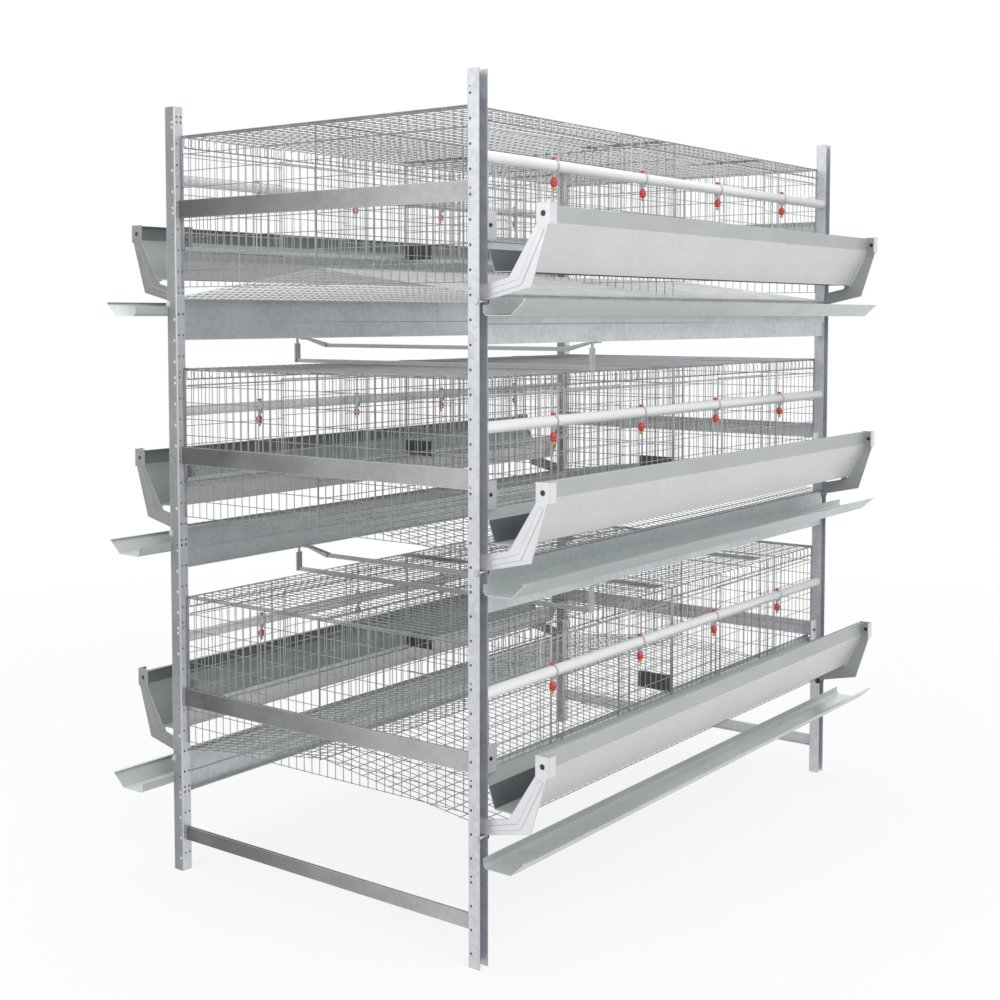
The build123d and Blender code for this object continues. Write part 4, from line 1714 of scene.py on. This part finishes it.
def aim(thing: Object, look: Vector) -> None:
    """Turn a lamp or the camera to look along a direction.

    Args:
        thing: the lamp or the camera.
        look: the direction.
    """
    thing.rotation_mode = "QUATERNION"
    thing.rotation_quaternion = look.to_track_quat("-Z", "Y")


@dataclass(frozen=True)
class Lamp:
    """A soft square lamp that points at a target."""

    name: str
    place: Point
    target: Point
    size: float
    power: float

    def build(self) -> None:
        """Add the lamp to the scene."""
        light = bpy.data.lights.new(self.name, "AREA")
        light.size = self.size
        light.energy = self.power
        lamp = linked(self.name, light)
        lamp.location = self.place
        aim(lamp, Vector(self.target) - Vector(self.place))


@dataclass
class Studio:
    """Pale floor, white surroundings, soft lamps and the camera."""

    eye: Point = (-3.3015, -2.3635, 1.4032)
    heading: float = 36.8
    dip: float = 3.4
    lens: float = 52.73
    sensor: float = 36.0
    rise: float = -0.0962
    farthest: float = 100.0
    floor_size: float = 60.0
    floor_colour: Colour = (0.9, 0.9, 0.9)
    white: Colour = (1.0, 1.0, 1.0)
    glow: float = 1.0
    ambient: float = 0.62
    near_white: float = 0.82
    fade_start: float = 1.6
    fade_end: float = 4.5
    lamps: tuple[Lamp, ...] = (Lamp("key", (-2.2, -4.6, 4.2), (0.0, 0.0, 0.9), 3.5, 110.0),
                               Lamp("side", (-5.0, 1.0, 2.8), (0.0, 0.0, 0.9), 3.0, 40.0),
                               Lamp("overhead", (0.5, 0.5, 5.0), (0.0, 0.0, 0.5), 4.0, 90.0))

    def white_share(self, bench: NodeBench) -> Value:
        """Return 1 for rays that show the background, and 0 for those that light the object.

        Args:
            bench: nodes of the world or of a material.

        Returns:
            The share.
        """
        camera = bench.add("ShaderNodeLightPath", output="Is Camera Ray")
        glossy = bench.add("ShaderNodeLightPath", output="Is Glossy Ray")
        through = bench.add("ShaderNodeLightPath", output="Is Transmission Ray")
        return (camera + glossy + through).clamped()

    def world(self) -> None:
        """Make the surroundings white to the camera and softer as a light."""
        world = bpy.data.worlds.new("studio")
        world.use_nodes = True
        world.node_tree.nodes.clear()
        bench = NodeBench(world.node_tree)
        strength = self.white_share(bench) * (1 - self.ambient) + self.ambient
        sky = bench.add("ShaderNodeBackground", None, {"Color": rgba(self.white), "Strength": strength})
        bench.add("ShaderNodeOutputWorld", None, {"Surface": sky})
        bpy.context.scene.world = world

    def floor(self) -> None:
        """Make the pale floor, which keeps the object's shadow."""
        half = self.floor_size / 2
        corners = [(-half, -half, 0), (half, -half, 0), (half, half, 0), (-half, half, 0)]
        mesh = mesh_of("floor", corners, [range(len(corners))])
        recipe = Recipe("studio_floor")
        matte = recipe.add("ShaderNodeBsdfDiffuse", None, {"Color": rgba(self.floor_colour)})
        glow = recipe.add("ShaderNodeEmission", None, {"Color": rgba(self.white), "Strength": self.glow})
        away = recipe.add("ShaderNodeVectorMath", {"operation": "LENGTH"}, {"Vector": recipe.place},
                          "Value")
        fade = ((away - self.fade_start) * (1 / (self.fade_end - self.fade_start))).clamped()
        share = self.white_share(recipe) * (self.near_white + fade * (1 - self.near_white))
        both = recipe.add("ShaderNodeMixShader", None, {"Fac": share, "Shader": matte, "Shader_001": glow})
        recipe.add("ShaderNodeOutputMaterial", None, {"Surface": both})
        mesh.materials.append(recipe.material)
        floor = linked("studio_floor", mesh)

    def camera(self) -> None:
        """Place the camera where the photograph was taken from."""
        data = bpy.data.cameras.new("camera")
        data.sensor_width = self.sensor
        data.lens = self.lens
        data.shift_y = self.rise
        data.clip_end = self.farthest
        camera = linked("camera", data)
        camera.location = self.eye
        turn, dip = math.radians(self.heading), math.radians(self.dip)
        level = math.cos(dip)
        aim(camera, Vector((math.cos(turn) * level, math.sin(turn) * level, -math.sin(dip))))
        bpy.context.scene.camera = camera

    def build(self) -> None:
        """Make the studio."""
        bpy.context.scene.view_settings.view_transform = "Standard"
        self.world()
        self.floor()
        for lamp in self.lamps:
            lamp.build()
        self.camera()


def main() -> None:
    """Build the cage's pieces in order."""
    logging.basicConfig(level=logging.INFO, format="%(name)s %(message)s")
    Studio().build()
    SheetParts().build()
    Posts().build()
    wires = WirePanels()
    wires.build()
    DividerPlates(wires).build()
    DrinkerLines().build()
    Fasteners().build()


if __name__ == "__main__":
    main()
